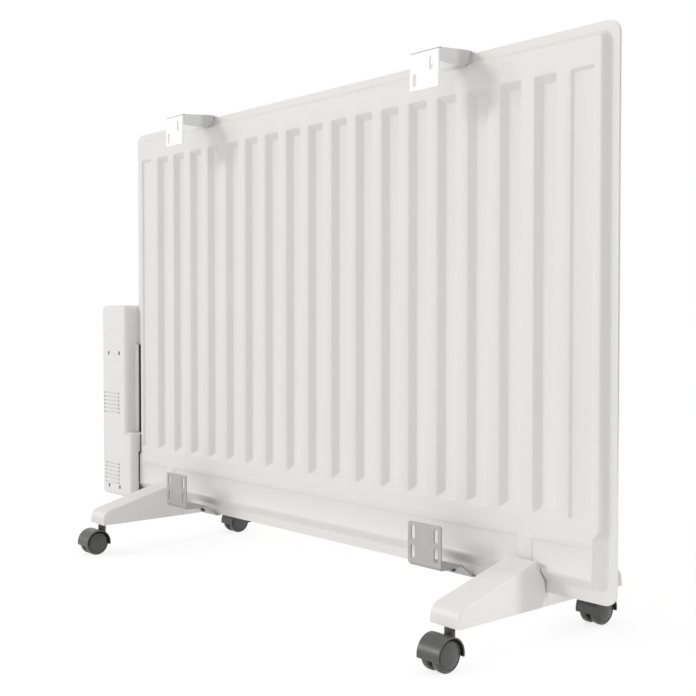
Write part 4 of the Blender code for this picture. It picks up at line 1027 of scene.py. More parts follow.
    def faces(self, x: np.ndarray, z: np.ndarray, y: np.ndarray, side: Side) -> list[tuple[int, ...]]:
        """Joins the grid's points, and splits each bent cell along its crease.

        Args:
            x: The points' x.
            z: The points' z.
            y: The points' y.
            side: The side that the faces point to.

        Returns:
            The faces.
        """
        rows, columns = x.shape
        index = np.arange(rows * columns).reshape(rows, columns)
        a, b, c, d = index[:-1, :-1], index[:-1, 1:], index[1:, 1:], index[1:, :-1]
        mid_x = (x[:-1, :-1] + x[1:, 1:]) / 2
        mid_z = (z[:-1, :-1] + z[1:, 1:]) / 2
        true = PANEL.flange_face + self.level(mid_x, mid_z)
        height = y * side.value
        rising = np.abs((height[:-1, :-1] + height[1:, 1:]) / 2 - true)
        falling = np.abs((height[:-1, 1:] + height[1:, :-1]) / 2 - true)
        made: list[tuple[int, ...]] = []
        for i, j in np.ndindex(a.shape):
            quad = (a[i, j], b[i, j], c[i, j], d[i, j])
            if abs(rising[i, j] - falling[i, j]) < TINY:
                made.append(quad)
            elif rising[i, j] < falling[i, j]:
                made += [(quad[0], quad[1], quad[2]), (quad[0], quad[2], quad[3])]
            else:
                made += [(quad[0], quad[1], quad[3]), (quad[1], quad[2], quad[3])]
        if side is Side.REAR:
            made = [face[::-1] for face in made]
        return [tuple(int(corner) for corner in face) for face in made]


@dataclass
class Foot:
    """A moulded foot: two hollow halves that a bolt draws together under the panel."""

    bench: Bench
    word: str
    width: float = 43 * MM
    half_length: float = 144.7 * MM
    underside: float = 46.6 * MM
    toe_height: float = 19.4 * MM
    top: float = 100.7 * MM
    toe_radius: float = 13 * MM
    shoulder: float = 4 * MM
    edge: float = 2 * MM
    wall: float = 3 * MM
    seam: float = 0.6 * MM
    setback: float = 2.5 * MM
    clamp_gap: float = 1 * MM
    # how deep, wide and tall a clamp's notch is
    notch: Triple = (1.2 * MM, 2.6 * MM, 9 * MM)
    block: float = 24 * MM
    rib: float = 4 * MM
    clamp_wall: float = 7 * MM
    eased: float = 0.35 * MM
    toe_steps: int = 12
    edge_steps: int = 4
    stem_bore: float = 4.1 * MM
    stem_depth: float = 17.3 * MM
    stem_inset: float = 8.1 * MM
    bolt_bore: float = 2.8 * MM
    bolt_rise: float = 8 * MM

    def build(self) -> None:
        """Moulds both halves, and dresses the bolt and the nut."""
        for side, word in ((Side.REAR, "rear"), (Side.FRONT, "front")):
            node = f"{self.word}_foot_{word}_half"
            half = self.bench.piece(f"{node}_moulding", self.half_mesh(side), FOOT_ABS, node, "foot_moulding",
                                    self.bench.below(node))
            self.bench.cut(half, *self.cutters(side))
            self.bench.ease(half, self.eased)
        self.bench.dress(PLATED_FASTENER, f"{self.word}_foot_bolt", f"{self.word}_foot_nut")

    def outline(self) -> list[Point]:
        """Draws the rear half's side, from the seam round the toe and along the panel.

        Returns:
            The outline as (y, z).
        """
        clear = PANEL.field_face + self.setback
        foot_of_wall = PANEL.bottom + PANEL.flange_bottom
        inner = self.seam / 2
        face = PANEL.flange_face + self.clamp_gap
        shelf = PANEL.bottom - 2 * HAIR
        corners = [(inner, self.underside), (self.half_length, self.underside),
                   (self.half_length, self.underside + self.toe_height), (clear, self.top),
                   (clear, foot_of_wall + PANEL.wall_bottom), (face + self.setback, foot_of_wall),
                   (face, shelf), (inner, shelf)]
        return rounded(corners, [0, 0, self.toe_radius, self.shoulder, 0, 0, 0, 0], self.toe_steps)

    def half_mesh(self, side: Side) -> Mesh:
        """One half, with its upper edges rounded.

        Args:
            side: The side that its toe points to.

        Returns:
            The solid half, before it is hollowed.
        """
        mesh = prism("foot_half", self.outline(), self.width, Lie.ALONG)
        slope_start = PANEL.field_face + self.setback + HAIR
        above = self.underside + self.toe_height / 2

        def upper(a: Vector, b: Vector) -> bool:
            """True of the flank's edges along the slope and round the toe."""
            on_flank = abs(abs(a.x) - self.width / 2) < HAIR and abs(a.x - b.x) < HAIR
            return on_flank and min(a.y, b.y) > slope_start and max(a.z, b.z) > above

        round_edges(mesh, self.edge, self.edge_steps, upper)
        if side is Side.FRONT:
            mesh.transform(Matrix.Scale(-1, 4, (0, 1, 0)))
            mesh.flip_normals()
        return smooth(mesh)

    def cutters(self, side: Side) -> list[Mesh]:
        """Makes what is cut from a half: two hollows, the stem's bore, the bolt's hole and two notches.

        Args:
            side: The side that its toe points to.

        Returns:
            The cutters.
        """
        inner, block_face = self.clamp_wall, self.half_length - self.block
        middle = (inner + block_face) / 2
        slope = ((self.top - self.underside - self.toe_height)
                 / (self.half_length - PANEL.field_face - self.setback))
        cut = []
        for y0, y1 in ((inner, middle - self.rib / 2), (middle + self.rib / 2, block_face)):
            roof = [self.underside + self.toe_height
                    + slope * (self.half_length - max(y, 2 * PANEL.field_face)) - 2 * self.wall
                    for y in (y0, y1)]
            near = max(y0, PANEL.field_face + self.setback + self.wall)
            floor = PANEL.bottom - 2 * HAIR - self.wall
            points = [(y0, self.underside - OVERRUN), (y1, self.underside - OVERRUN), (y1, roof[1]),
                      (near, roof[0])]
            if near > y0:
                points += [(near, floor), (y0, floor)]
            outline = [(side.value * y, z) for y, z in points]
            cut.append(prism("hollow", outline, self.width - 2 * self.wall, Lie.ALONG))
        stem = (0, side.value * (self.half_length - self.stem_inset))
        cut.append(rod("stem_bore", self.stem_bore,
                       (self.underside - OVERRUN, self.underside + self.stem_depth), Lie.FLAT, stem))
        ends = sorted((-side.value * OVERRUN, side.value * (self.clamp_wall + OVERRUN)))
        cut.append(rod("bolt_hole", self.bolt_bore, (ends[0], ends[1]), Lie.ACROSS,
                       (0, self.underside + self.bolt_rise)))
        deep, wide, tall = self.notch
        start = PANEL.field_face + self.setback + wide
        near, far = sorted((side.value * start, side.value * (start + wide)))
        for flank in (-1, 1):
            low, high = sorted((flank * (self.width / 2 - deep), flank * (self.width / 2 + OVERRUN)))
            cut.append(block("clamp_notch", (low, near, self.top - self.edge - tall),
                             (high, far, self.top - self.edge)))
        return cut


@dataclass
class Caster:
    """A twin-wheel caster: a hood that swivels on its stem, an axle, and two wheels."""

    bench: Bench
    word: str
    trail: float = 13.7 * MM
    wheel_radius: float = 18.7 * MM
    tread: float = 10.2 * MM
    tread_edge: float = 2.7 * MM
    cap_radius: float = 14.3 * MM
    cap_rise: float = 2.2 * MM
    groove: float = 0.5 * MM
    bead: float = 0.8 * MM
    bore_floor: float = 1.6 * MM
    axle_bore: float = 2.3 * MM
    hood_radius: float = 20.4 * MM
    hood_wall: float = 1.1 * MM
    lip: float = 1.7 * MM
    lip_width: float = 1.3 * MM
    # a painted shade ring's inner radius and its thickness
    guard: Point = (16.4 * MM, 0.5 * MM)
    half_width: float = 15.7 * MM
    drop: float = 3.5 * MM
    web: float = 5 * MM
    hub_radius: float = 5.5 * MM
    boss_radius: float = 6 * MM
    boss_top: float = 45.4 * MM
    boss_floor: float = 1.2 * MM
    # how wide and tall a boss's notch is
    notch: Point = (3.2 * MM, 4.5 * MM)
    stem_bore: float = 4.1 * MM
    play: float = 0.5 * MM
    eased: float = 0.35 * MM
    eased_steps: int = 3
    sides: int = 96
    boss_sides: int = 48
    hood_steps: int = 56
    hub_steps: int = 12
    dome_steps: int = 12
    rim_steps: int = 8
    back_steps: int = 6
    # the parts of a turn, in degrees, that the web's hub, the bead and the tread's shoulder take
    hub_turn: Point = (215, 325)
    bead_turn: Point = (165, 40)
    shoulder_turn: float = 75.0

    def build(self) -> None:
        """Moulds the hood and the wheels, and dresses the steel."""
        low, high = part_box(f"{self.word}_caster_stem")
        stem = Vector(((low.x + high.x) / 2, (low.y + high.y) / 2, 0))
        hub = stem + Vector((0, self.trail, self.wheel_radius))
        hood = self.bench.piece(f"{self.word}_caster_hood_moulding", self.hood_mesh(), CASTER_NYLON,
                                f"{self.word}_caster_hood", "caster_plastic", hub)
        self.hollow(hood)
        self.bench.ease(hood, self.eased, self.eased_steps)
        # painted shade: a near-black half ring in each mouth stands for the shade of the gap round the wheel
        self.bench.piece(f"{self.word}_caster_hood_guards", self.shade_ring_mesh(), SHADE_RING_NYLON,
                         f"{self.word}_caster_hood", "caster_plastic", hub, added=True)
        for word, turn in (("left", -90), ("right", 90)):
            upright = Matrix.Rotation(math.radians(turn), 4, "Y")
            wheel = lathe("wheel", self.wheel_profile(), upright, self.sides)
            self.bench.piece(f"{self.word}_caster_{word}_wheel_moulding", wheel, WHEEL_NYLON,
                             f"{self.word}_caster_{word}_wheel", "caster_plastic", hub)
        self.bench.dress(PLATED_FASTENER, f"{self.word}_caster_stem", f"{self.word}_caster_axle")

    def hollow(self, hood: Object) -> None:
        """Gives a hood its boss, its room, its web, its bores and its notches.

        Args:
            hood: The hood, still a solid half drum.
        """
        boss_low, boss_high = self.hood_radius / 3, self.boss_top - self.wheel_radius
        above = (0, -self.trail)
        boss = rod("boss", self.boss_radius, (boss_low, boss_high), Lie.FLAT, above, self.boss_sides)
        self.bench.tool(hood, boss, "UNION")
        room, mouth = self.half_width - self.lip_width, self.half_width + OVERRUN
        for name, radius, reach in (("room", self.hood_radius - self.hood_wall, room),
                                    ("mouth", self.hood_radius - self.lip, mouth)):
            self.bench.tool(hood, rod(name, radius, (-reach, reach), Lie.ALONG, sides=self.sides))
        self.bench.tool(hood, self.web_mesh(), "UNION")
        floor = math.sqrt(self.hood_radius ** 2 - self.trail ** 2) + self.boss_floor
        self.bench.cut(hood, rod("axle_bore", self.axle_bore, (-self.web, self.web), Lie.ALONG),
                       rod("stem_bore", self.stem_bore, (floor, boss_high + OVERRUN), Lie.FLAT, above))
        wide, tall = self.notch
        for way in (-1, 1):
            start, end = sorted((way * (self.boss_radius - wide / 3), way * (self.boss_radius + OVERRUN)))
            self.bench.cut(hood, block("notch", (start, -self.trail - wide / 2, boss_high - tall),
                                       (end, -self.trail + wide / 2, boss_high + OVERRUN)))

    def drop_turn(self, radius: float) -> float:
        """How far below the level of the axle a drum of this radius ends, in degrees."""
        return math.degrees(math.asin(self.drop / radius))

    def hood_mesh(self) -> Mesh:
        """Makes the hood before it is cut, a half drum on its side.

        Returns:
            The closed mesh, about the axle.
        """
        drop = self.drop_turn(self.hood_radius)
        outline = arc((0, 0), self.hood_radius, -drop, 180 + drop, self.hood_steps)
        return smooth(prism("hood", outline, 2 * self.half_width, Lie.ALONG))

    def shade_ring_mesh(self) -> Mesh:
        """Makes the two near-black half rings inside the hood's mouths, each round a wheel's cap, that paint
        the shade of the gap between hood and wheel.

        Returns:
            Both closed rings in one mesh.
        """
        inner, thick = self.guard
        outer = self.hood_radius - self.hood_wall - HAIR / 6
        drop = self.drop_turn(self.hood_radius)
        outline = (arc((0, 0), outer, -drop, 180 + drop, self.hood_steps)
                   + arc((0, 0), inner, 180 + drop, -drop, self.hood_steps))
        middle = self.half_width - self.lip_width - thick / 2
        rings = [prism("guard", outline, thick, Lie.ALONG, side * middle) for side in (-1, 1)]
        return smooth(merged("guards", rings))

    def web_mesh(self) -> Mesh:
        """Makes the web that joins the hood to the axle between the wheels.

        Returns:
            The closed mesh, about the axle.
        """
        radius = self.hood_radius - self.hood_wall / 2
        drop = self.drop_turn(radius)
        outline = (arc((0, 0), radius, -drop, 180 + drop, self.hood_steps)
                   + arc((0, 0), self.hub_radius, *self.hub_turn, self.hub_steps))
        return prism("web", outline, self.web, Lie.ALONG)

    def wheel_profile(self) -> list[Point]:
        """Draws a wheel's section: a shallow dome, a fine groove, a rounded rim, the tread and the bore.

        Returns:
            The section as (radius, distance from the caster's middle).
        """
        inner = self.web / 2 + self.play
        face = inner + self.tread
        shares = [step / self.dome_steps for step in range(self.dome_steps + 1)]
        dome = [(self.cap_radius * share, face + self.cap_rise * (1 - share ** 2)) for share in shares]
        groove = [(self.cap_radius + self.groove / 4, face - self.groove),
                  (self.cap_radius + self.groove, face - self.groove)]
        outer = self.wheel_radius - self.tread_edge
        ring = (self.cap_radius + self.groove + outer) / 2
        bead = arc((ring, face - self.bead / 4), outer - ring, *self.bead_turn, self.rim_steps)
        shoulder = arc((outer, face - self.bead - self.tread_edge), self.tread_edge, self.shoulder_turn, 0,
                       self.rim_steps)
        back = arc((outer, inner + self.tread_edge), self.tread_edge, 0, -90, self.back_steps)
        floor = self.half_width - 3 * self.bore_floor
        return (dome + groove + bead + shoulder + back
                + [(self.axle_bore, inner), (self.axle_bore, floor), (0, floor)])


@dataclass
class ControlBox:
    """The control box on the panel's end: two shells, their fittings, and what they cover."""

    bench: Bench
    gap: float = 2.3 * MM
    width: float = 83 * MM
    bottom: float = 60.5 * MM
    height: float = 334 * MM
    rear: float = 27.3 * MM
    front: float = 33 * MM
    wall: float = 2.2 * MM
    corner: float = 8 * MM
    edge: float = 7 * MM
    eased: float = 0.25 * MM
    # how many chords a corner and a face's edge have, outside and in the hollow
    outer_steps: Steps = (12, 8)
    hollow_steps: Steps = (8, 4)
    block_height: float = 113.5 * MM
    block_reach: float = 16 * MM
    seal: float = 0.9 * MM
    seal_show: float = 1.5 * MM
    upper_seal_inset: float = 3.6 * MM
    seal_stand: float = 9 * MM
    vent_count: int = 6
    vent_pitch: float = 6.7 * MM
    vent_slot: float = 2.5 * MM
    vent_depth: float = 1.7 * MM
    # the length of the upper vents, and of the lower ones
    vent_lengths: Point = (55 * MM, 50 * MM)
    vent_hole: float = 6 * MM
    vent_gap: float = 1.8 * MM
    # how wide the rail across the vents is, and how far it is set in
    vent_rail: Point = (1.6 * MM, 0.5 * MM)
    vent_margin: float = 21 * MM
    vent_upper_drop: float = 154 * MM
    vent_lower_rise: float = 56 * MM
    screw_rise: float = 16 * MM
    screw_drop: float = 83.5 * MM
    screw_margin: float = 21.3 * MM
    screw_spacing: float = 36.6 * MM
    screw_bore: float = 2 * MM
    well_radius: float = 3.6 * MM
    well_depth: float = 4.5 * MM
    boss_radius: float = 5.2 * MM
    gland_radius: float = 7.8 * MM
    knob_way: float = 3.5 * MM

    @property
    def inner(self) -> float:
        """The box's side by the panel."""
        return PANEL.half + self.gap

    @property
    def outer(self) -> float:
        """The box's side away from the panel."""
        return self.inner + self.width

    @property
    def top(self) -> float:
        """The box's top."""
        return self.bottom + self.height

    @property
    def middle(self) -> float:
        """The middle of the box's width."""
        return (self.inner + self.outer) / 2

    @property
    def block_top(self) -> float:
        """The top of the block that reaches over the panel."""
        return self.bottom + self.block_height

    @property
    def block_face(self) -> float:
        """The block's side over the panel."""
        return PANEL.half - self.block_reach

    def build(self) -> None:
        """Moulds the shells and dresses the rest."""
        rear = self.shell(Side.REAR, self.rear)
        front = self.shell(Side.FRONT, self.front)
        self.bosses(rear, front)
        self.vents(rear)
        span = (self.bottom - OVERRUN, self.bottom + self.wall + OVERRUN)
        gland = rod("gland_hole", self.gland_radius, span, Lie.FLAT, (self.middle, 0))
        for shell in (rear, front):
            self.bench.cut(shell, gland)
        self.openings(front)
        for shell in (rear, front):
            self.bench.ease(shell, self.eased)
        self.seals()
        self.bench.dress(SHELL_ABS, "side_lip")
        self.bench.dress(SEAL_RUBBER, "lead_inlet_bush")
        self.bench.dress(PLATED_STEEL, "chassis_plate")
        self.bench.dress(BLACK_ABS, "thermal_cutout", "tip_over_switch")
        self.bench.dress(CREAM_PHENOLIC, "terminal_block", "thermostat")
        self.bench.dress(PLATED_FASTENER, *(f"box_screw_{number}" for number in range(1, 5)))

    def outline(self, margin: float, steps: int) -> list[Point]:
        """Draws the box from behind, upright with a block that reaches over the panel.

        Args:
            margin: How far inside the box's sides.
            steps: How many chords a corner has.

        Returns:
            The outline as (x, z).
        """
        corners = [(self.block_face, self.bottom), (self.outer, self.bottom), (self.outer, self.top),
                   (self.inner, self.top), (self.inner, self.block_top), (self.block_face, self.block_top)]
        return rounded(inset(corners, margin), [self.corner - margin] * 4 + [0, 0], steps)

    def half(self, side: Side, start: float, end: float, margin: float, steps: Steps) -> Mesh:
        """Makes a half of the box, solid, with round edges along its face.

        Args:
            side: The side that it faces.
            start: How far from the seam it starts.
            end: How far from the seam its face is.
            margin: How far inside the box's sides it is.
            steps: How many chords a corner and an edge of the face have.

        Returns:
            The closed mesh.
        """
        low, high = sorted((side.value * start, side.value * end))
        mesh = prism("half", self.outline(margin, steps[0]), high - low, Lie.ACROSS, -(low + high) / 2)
        return round_edges(mesh, self.edge - margin, steps[1], at_depth(side.value * end))

    def shell(self, side: Side, depth: float) -> Object:
        """Moulds one half shell.

        Args:
            side: The side that it faces.
            depth: How far its face is from the seam.

        Returns:
            The shell, hollow and open to the other one.
        """
        node = f"box_{side.name.lower()}_shell"
        outside = smooth(self.half(side, HAIR / 2, depth, 0, self.outer_steps))
        shell = self.bench.piece(f"{node}_moulding", outside, SHELL_ABS, node, "shell_moulding")
        self.bench.cut(shell, self.half(side, -OVERRUN, depth - self.wall, self.wall, self.hollow_steps))
        for low, high, bulge in ((self.bottom + self.wall, PANEL.inlet, PANEL.inlet_bulge),
                                 (PANEL.inlet - OVERRUN, self.block_top + OVERRUN, 0)):
            points = [(x, side.value * y) for x, y in self.panel_edge(bulge)]
            self.bench.cut(shell, prism("panel_way", points, high - low, Lie.FLAT, (low + high) / 2))
        return shell

    def panel_edge(self, bulge: float) -> list[Point]:
        """Draws the room that the panel's edge needs, seen from above.

        Args:
            bulge: How far the dish bulges towards the box.

        Returns:
            The outline as (x, y).
        """
        rise = self.seal + 2 * HAIR
        wall_foot = PANEL.half - PANEL.flange_box_end + bulge
        inner = PANEL.half - 2 * self.block_reach
        return [(inner, -OVERRUN), (PANEL.half + HAIR, -OVERRUN),
                (PANEL.half + HAIR, PANEL.flange_face + rise), (wall_foot, PANEL.flange_face + rise),
                (wall_foot - PANEL.wall, PANEL.field_face + rise), (inner, PANEL.field_face + rise)]

    def seals(self) -> None:
        """Extrudes the three rubber seals that close the gap to the panel."""
        base, bulge = PANEL.flange_face + HAIR, PANEL.field_face + HAIR
        face, under = self.block_face, self.block_face + self.wall / 2
        low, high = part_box("upper_seal")
        near, far = low.x + self.upper_seal_inset - self.bench.centre_x, high.x - self.bench.centre_x
        thick = high.y - low.y
        stand, lean, show = face - MM, HAIR / 2, face - self.seal_show
        outlines = {
            "upper": [(near, base), (far, base), (far, base + thick), (near + thick / 2, base + thick),
                      (near, base + thick / 2)],
            "middle": [(face - lean, base), (under, base), (under, base + self.seal),
                       (face - lean, base + self.seal), (face - lean, self.seal_stand),
                       (stand, self.seal_stand), (stand, base + 2 * self.seal)],
            "lower": [(show, bulge), (under, bulge), (under, bulge + self.seal),
                      (show + self.seal / 2, bulge + self.seal), (show, bulge + self.seal / 2)]}
        for word, outline in outlines.items():
            low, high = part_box(f"{word}_seal")
            top = PANEL.inlet - HAIR if word == "lower" else high.z
            mesh = smooth(prism("seal", outline, top - low.z, Lie.FLAT, (low.z + top) / 2))
            self.bench.piece(f"{word}_seal_strip", mesh, SEAL_RUBBER, f"{word}_seal", "seal_rubber")

    def screw_places(self) -> list[Point]:
        """Lists the places of the four screws.

        Returns:
            Their middles as (x, z).
        """
        start = self.inner + self.screw_margin
        levels = (self.bottom + self.screw_rise, self.top - self.screw_drop)
        return [(start + column * self.screw_spacing, z) for column in (0, 1) for z in levels]

    def bosses(self, rear: Object, front: Object) -> None:
        """Adds the bosses and bores for the four screws.

        Args:
            rear: The rear shell, which carries the screws' heads.
            front: The front shell, which takes their threads.
        """
        seat = self.rear - self.well_depth
        start = seat - 2 * self.wall
        tip = start - 2 * HAIR
        for place in self.screw_places():
            for shell, name, radius, span in (
                    (rear, "boss", self.boss_radius, (start, self.rear - self.wall / 2)),
                    (rear, "well", self.well_radius, (seat, self.rear + OVERRUN)),
                    (rear, "bore", self.screw_bore, (start - OVERRUN, seat + OVERRUN)),
                    (front, "boss", self.boss_radius, (self.wall / 2 - self.front, tip)),
                    (front, "bore", self.screw_bore, (2 * self.wall - self.front, tip + OVERRUN))):
                operation = "UNION" if name == "boss" else "DIFFERENCE"
                self.bench.tool(shell, rod(name, radius, span, Lie.ACROSS, place), operation)

    def vents(self, shell: Object) -> None:
        """Cuts two groups of shallow slots, each open at its end by the panel.

        Args:
            shell: The rear shell.
        """
        start = self.inner + self.vent_margin
        for level, length in ((self.top - self.vent_upper_drop, self.vent_lengths[0]),
                              (self.bottom + self.vent_lower_rise, self.vent_lengths[1])):
            grooves, holes = [], []
            for index in range(self.vent_count):
                z = level - index * self.vent_pitch
                low, high = z - self.vent_slot / 2, z + self.vent_slot / 2
                grooves.append(block("groove", (start, self.rear - self.vent_depth, low),
                                     (start + length, self.rear + OVERRUN, high)))
                holes.append(block("hole", (start, self.rear - self.wall - OVERRUN, z - self.vent_gap / 2),
                                   (start + self.vent_hole, self.rear + OVERRUN, z + self.vent_gap / 2)))
            wide, deep = self.vent_rail
            run = (self.vent_count - 1) * self.vent_pitch
            rail = block("rail", (start + self.vent_hole - 2 * wide, self.rear - deep, level - run - wide),
                         (start + self.vent_hole - wide, self.rear + OVERRUN, level + wide))
            self.bench.cut(shell, merged("grooves", grooves), merged("holes", holes), rail)

    def openings(self, front: Object) -> None:
        """Cuts the knob's way and the rockers' openings, where the frame has them.

        Args:
            front: The front shell.
        """
        low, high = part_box("thermostat_knob")
        span = (-self.front - OVERRUN, -self.front + self.wall + OVERRUN)
        self.bench.cut(front, rod("knob_way", self.knob_way, span, Lie.ACROSS,
                                  (self.middle, (low.z + high.z) / 2)))
        shift = self.bench.origin
        for word in ("lower", "upper"):
            low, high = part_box(f"{word}_rocker_frame")
            low, high = low - shift, high - shift
            self.bench.cut(front, block("switch_hole", (low.x - HAIR, low.y - OVERRUN, low.z - HAIR),
                                        (high.x + HAIR, high.y + HAIR, high.z + HAIR)))


@dataclass
class Controls:
    """What a hand moves on the box's front: the thermostat's knob and two rocker switches."""

    bench: Bench
    knob_radius: float = 17 * MM
    knob_height: float = 14 * MM
    knob_draft: float = 1.5 * MM
    knob_edge: float = 1.2 * MM
    knob_gap: float = 0.6 * MM
    shaft: float = 3 * MM
    mark_width: float = 1.8 * MM
    mark_depth: float = 0.6 * MM
    # the share of the face's radius at which the mark starts
    mark_start: float = 1 / 3
    ticks: int = 11
    tick_sweep: float = 270.0
    tick_start: float = 20.5 * MM
    tick_length: float = 3 * MM
    # the first tick's width, and the last one's
    tick_widths: Point = (0.7 * MM, 1.3 * MM)
    tick_rise: float = 0.3 * MM
    front: float = 33 * MM
    sides: int = 96
    edge_steps: int = 6
    eased: float = 0.2 * MM
    rocker_eased: float = 0.6 * MM
    frame_eased: float = 0.5 * MM
    switch_steps: int = 3
    # the switches' faces are flat, so even a faint crease between two of them is an edge
    switch_angle: float = 20.0

    def build(self) -> None:
        """Moulds the knob and dresses the switches."""
        low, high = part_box("thermostat_knob")
        place = Vector(((low.x + high.x) / 2, self.bench.seam_y - self.front, (low.z + high.z) / 2))
        tail = high.y - place.y
        turn = Matrix.Rotation(math.radians(90), 4, "X")
        mesh = lathe("knob", self.knob_profile(tail), turn, self.sides)
        knob = self.bench.piece("thermostat_knob_moulding", mesh, KNOB_ABS, "thermostat_knob", "knob_plastic",
                                place)
        top = self.knob_gap + self.knob_height
        tip = self.knob_radius - self.knob_draft
        mark = block("mark", (-self.mark_width / 2, -top - OVERRUN, tip * self.mark_start),
                     (self.mark_width / 2, -top + self.mark_depth, tip - self.knob_edge))
        self.bench.cut(knob, mark)
        self.bench.ease(knob, self.eased)
        dial = Vector((place.x, self.bench.seam_y, place.z))
        self.bench.piece("dial_ticks", self.tick_mesh(), DIAL_INK, "box_front_shell", "black_moulding", dial,
                         added=True)
        for word in ("lower", "upper"):
            for node, finish, width in ((f"{word}_rocker", ROCKER_NYLON, self.rocker_eased),
                                        (f"{word}_rocker_frame", BLACK_ABS, self.frame_eased)):
                self.bench.dress(finish, node)
                self.bench.ease(frame["nodes"][node], width, self.switch_steps, self.switch_angle)

    def tick_mesh(self) -> Mesh:
        """Makes the dial's ticks, which grow wider from its low end to its high end.

        Returns:
            All ticks in one mesh, about the dial's middle.
        """
        made = []
        least, most = self.tick_widths
        end = self.tick_start + self.tick_length
        for index in range(self.ticks):
            share = index / (self.ticks - 1)
            angle = math.radians(self.tick_sweep * (share - 0.5))
            half = (least + (most - least) * share) / 2
            tick = block("tick", (-half, -self.front - self.tick_rise, self.tick_start),
                         (half, -self.front + self.tick_rise, end))
            tick.transform(Matrix.Rotation(angle, 4, "Y"))
            made.append(tick)
        return merged("ticks", made)

    def knob_profile(self, tail: float) -> list[Point]:
        """Draws the knob's section, from the middle of its face down its side to the end of its shaft.

        Args:
            tail: How far the shaft goes behind the front shell's face.

        Returns:
            The section as (radius, height).
        """
        top = self.knob_gap + self.knob_height
        tip = self.knob_radius - self.knob_draft
        edge = arc((tip - self.knob_edge, top - self.knob_edge), self.knob_edge, 90, 0, self.edge_steps)
        return ([(0, top)] + edge + [(self.knob_radius, self.knob_gap), (self.shaft, self.knob_gap),
                                     (self.shaft, -tail), (0, -tail)])


@dataclass
class WallBracket:
    """What both kinds of wall bracket share: sheet steel bent along a path."""

    bench: Bench
    word: str
    wall_plane: float = 66.5 * MM
    steel: float = 2 * MM
    bend: float = 2.4 * MM
    bend_steps: int = 6
    slot_steps: int = 12
    eased: float = 0.35 * MM
    eased_steps: int = 3
    eased_angle: float = 40.0

    @property
    def plate_middle(self) -> float:
        """How far the middle of the plate's steel is from the seam."""
        return self.wall_plane - self.steel / 2

    @property
    def lip_middle(self) -> float:
        """Where the middle of the hook's lip is, on the room side."""
        return -PANEL.flange_face - HAIR - self.steel / 2

    def strip(self, name: str, path: Outline, width: Callable[[float, float], float]) -> Mesh:
        """Bends a strip along a path.

        Args:
            name: The mesh's name.
            path: The (y, z) points of its middle.
            width: Gives the strip's width at a point.

        Returns:
            The strip's middle surface, open.
        """
        points = [(side * width(y, z) / 2, y, z) for y, z in path for side in (-1, 1)]
        mesh = bpy.data.meshes.new(name)
        mesh.from_pydata(points, [], [(i, i + 1, i + 3, i + 2) for i in range(0, len(points) - 2, 2)])
        return mesh

    def thicken(self, made: Object) -> None:
        """Gives a strip the thickness of its steel.

        Args:
            made: The piece, still an open surface.
        """
        skin = made.modifiers.new("sheet steel", "SOLIDIFY")
        skin.thickness = self.steel
        skin.offset = 0
        skin.use_even_offset = True

    def slot(self, place: Point, width: float, length: float) -> Mesh:
        """Makes the cutter of an upright slot with round ends in the plate.

        Args:
            place: The slot's middle, as (x, z).
            width: Its width.
            length: Its whole length.

        Returns:
            The closed mesh.
        """
        reach = (length - width) / 2
        outline = (arc((place[0], place[1] + reach), width / 2, 0, 180, self.slot_steps)
                   + arc((place[0], place[1] - reach), width / 2, 180, 360, self.slot_steps))
        return prism("slot", outline, 4 * self.steel, Lie.ACROSS, -self.wall_plane)


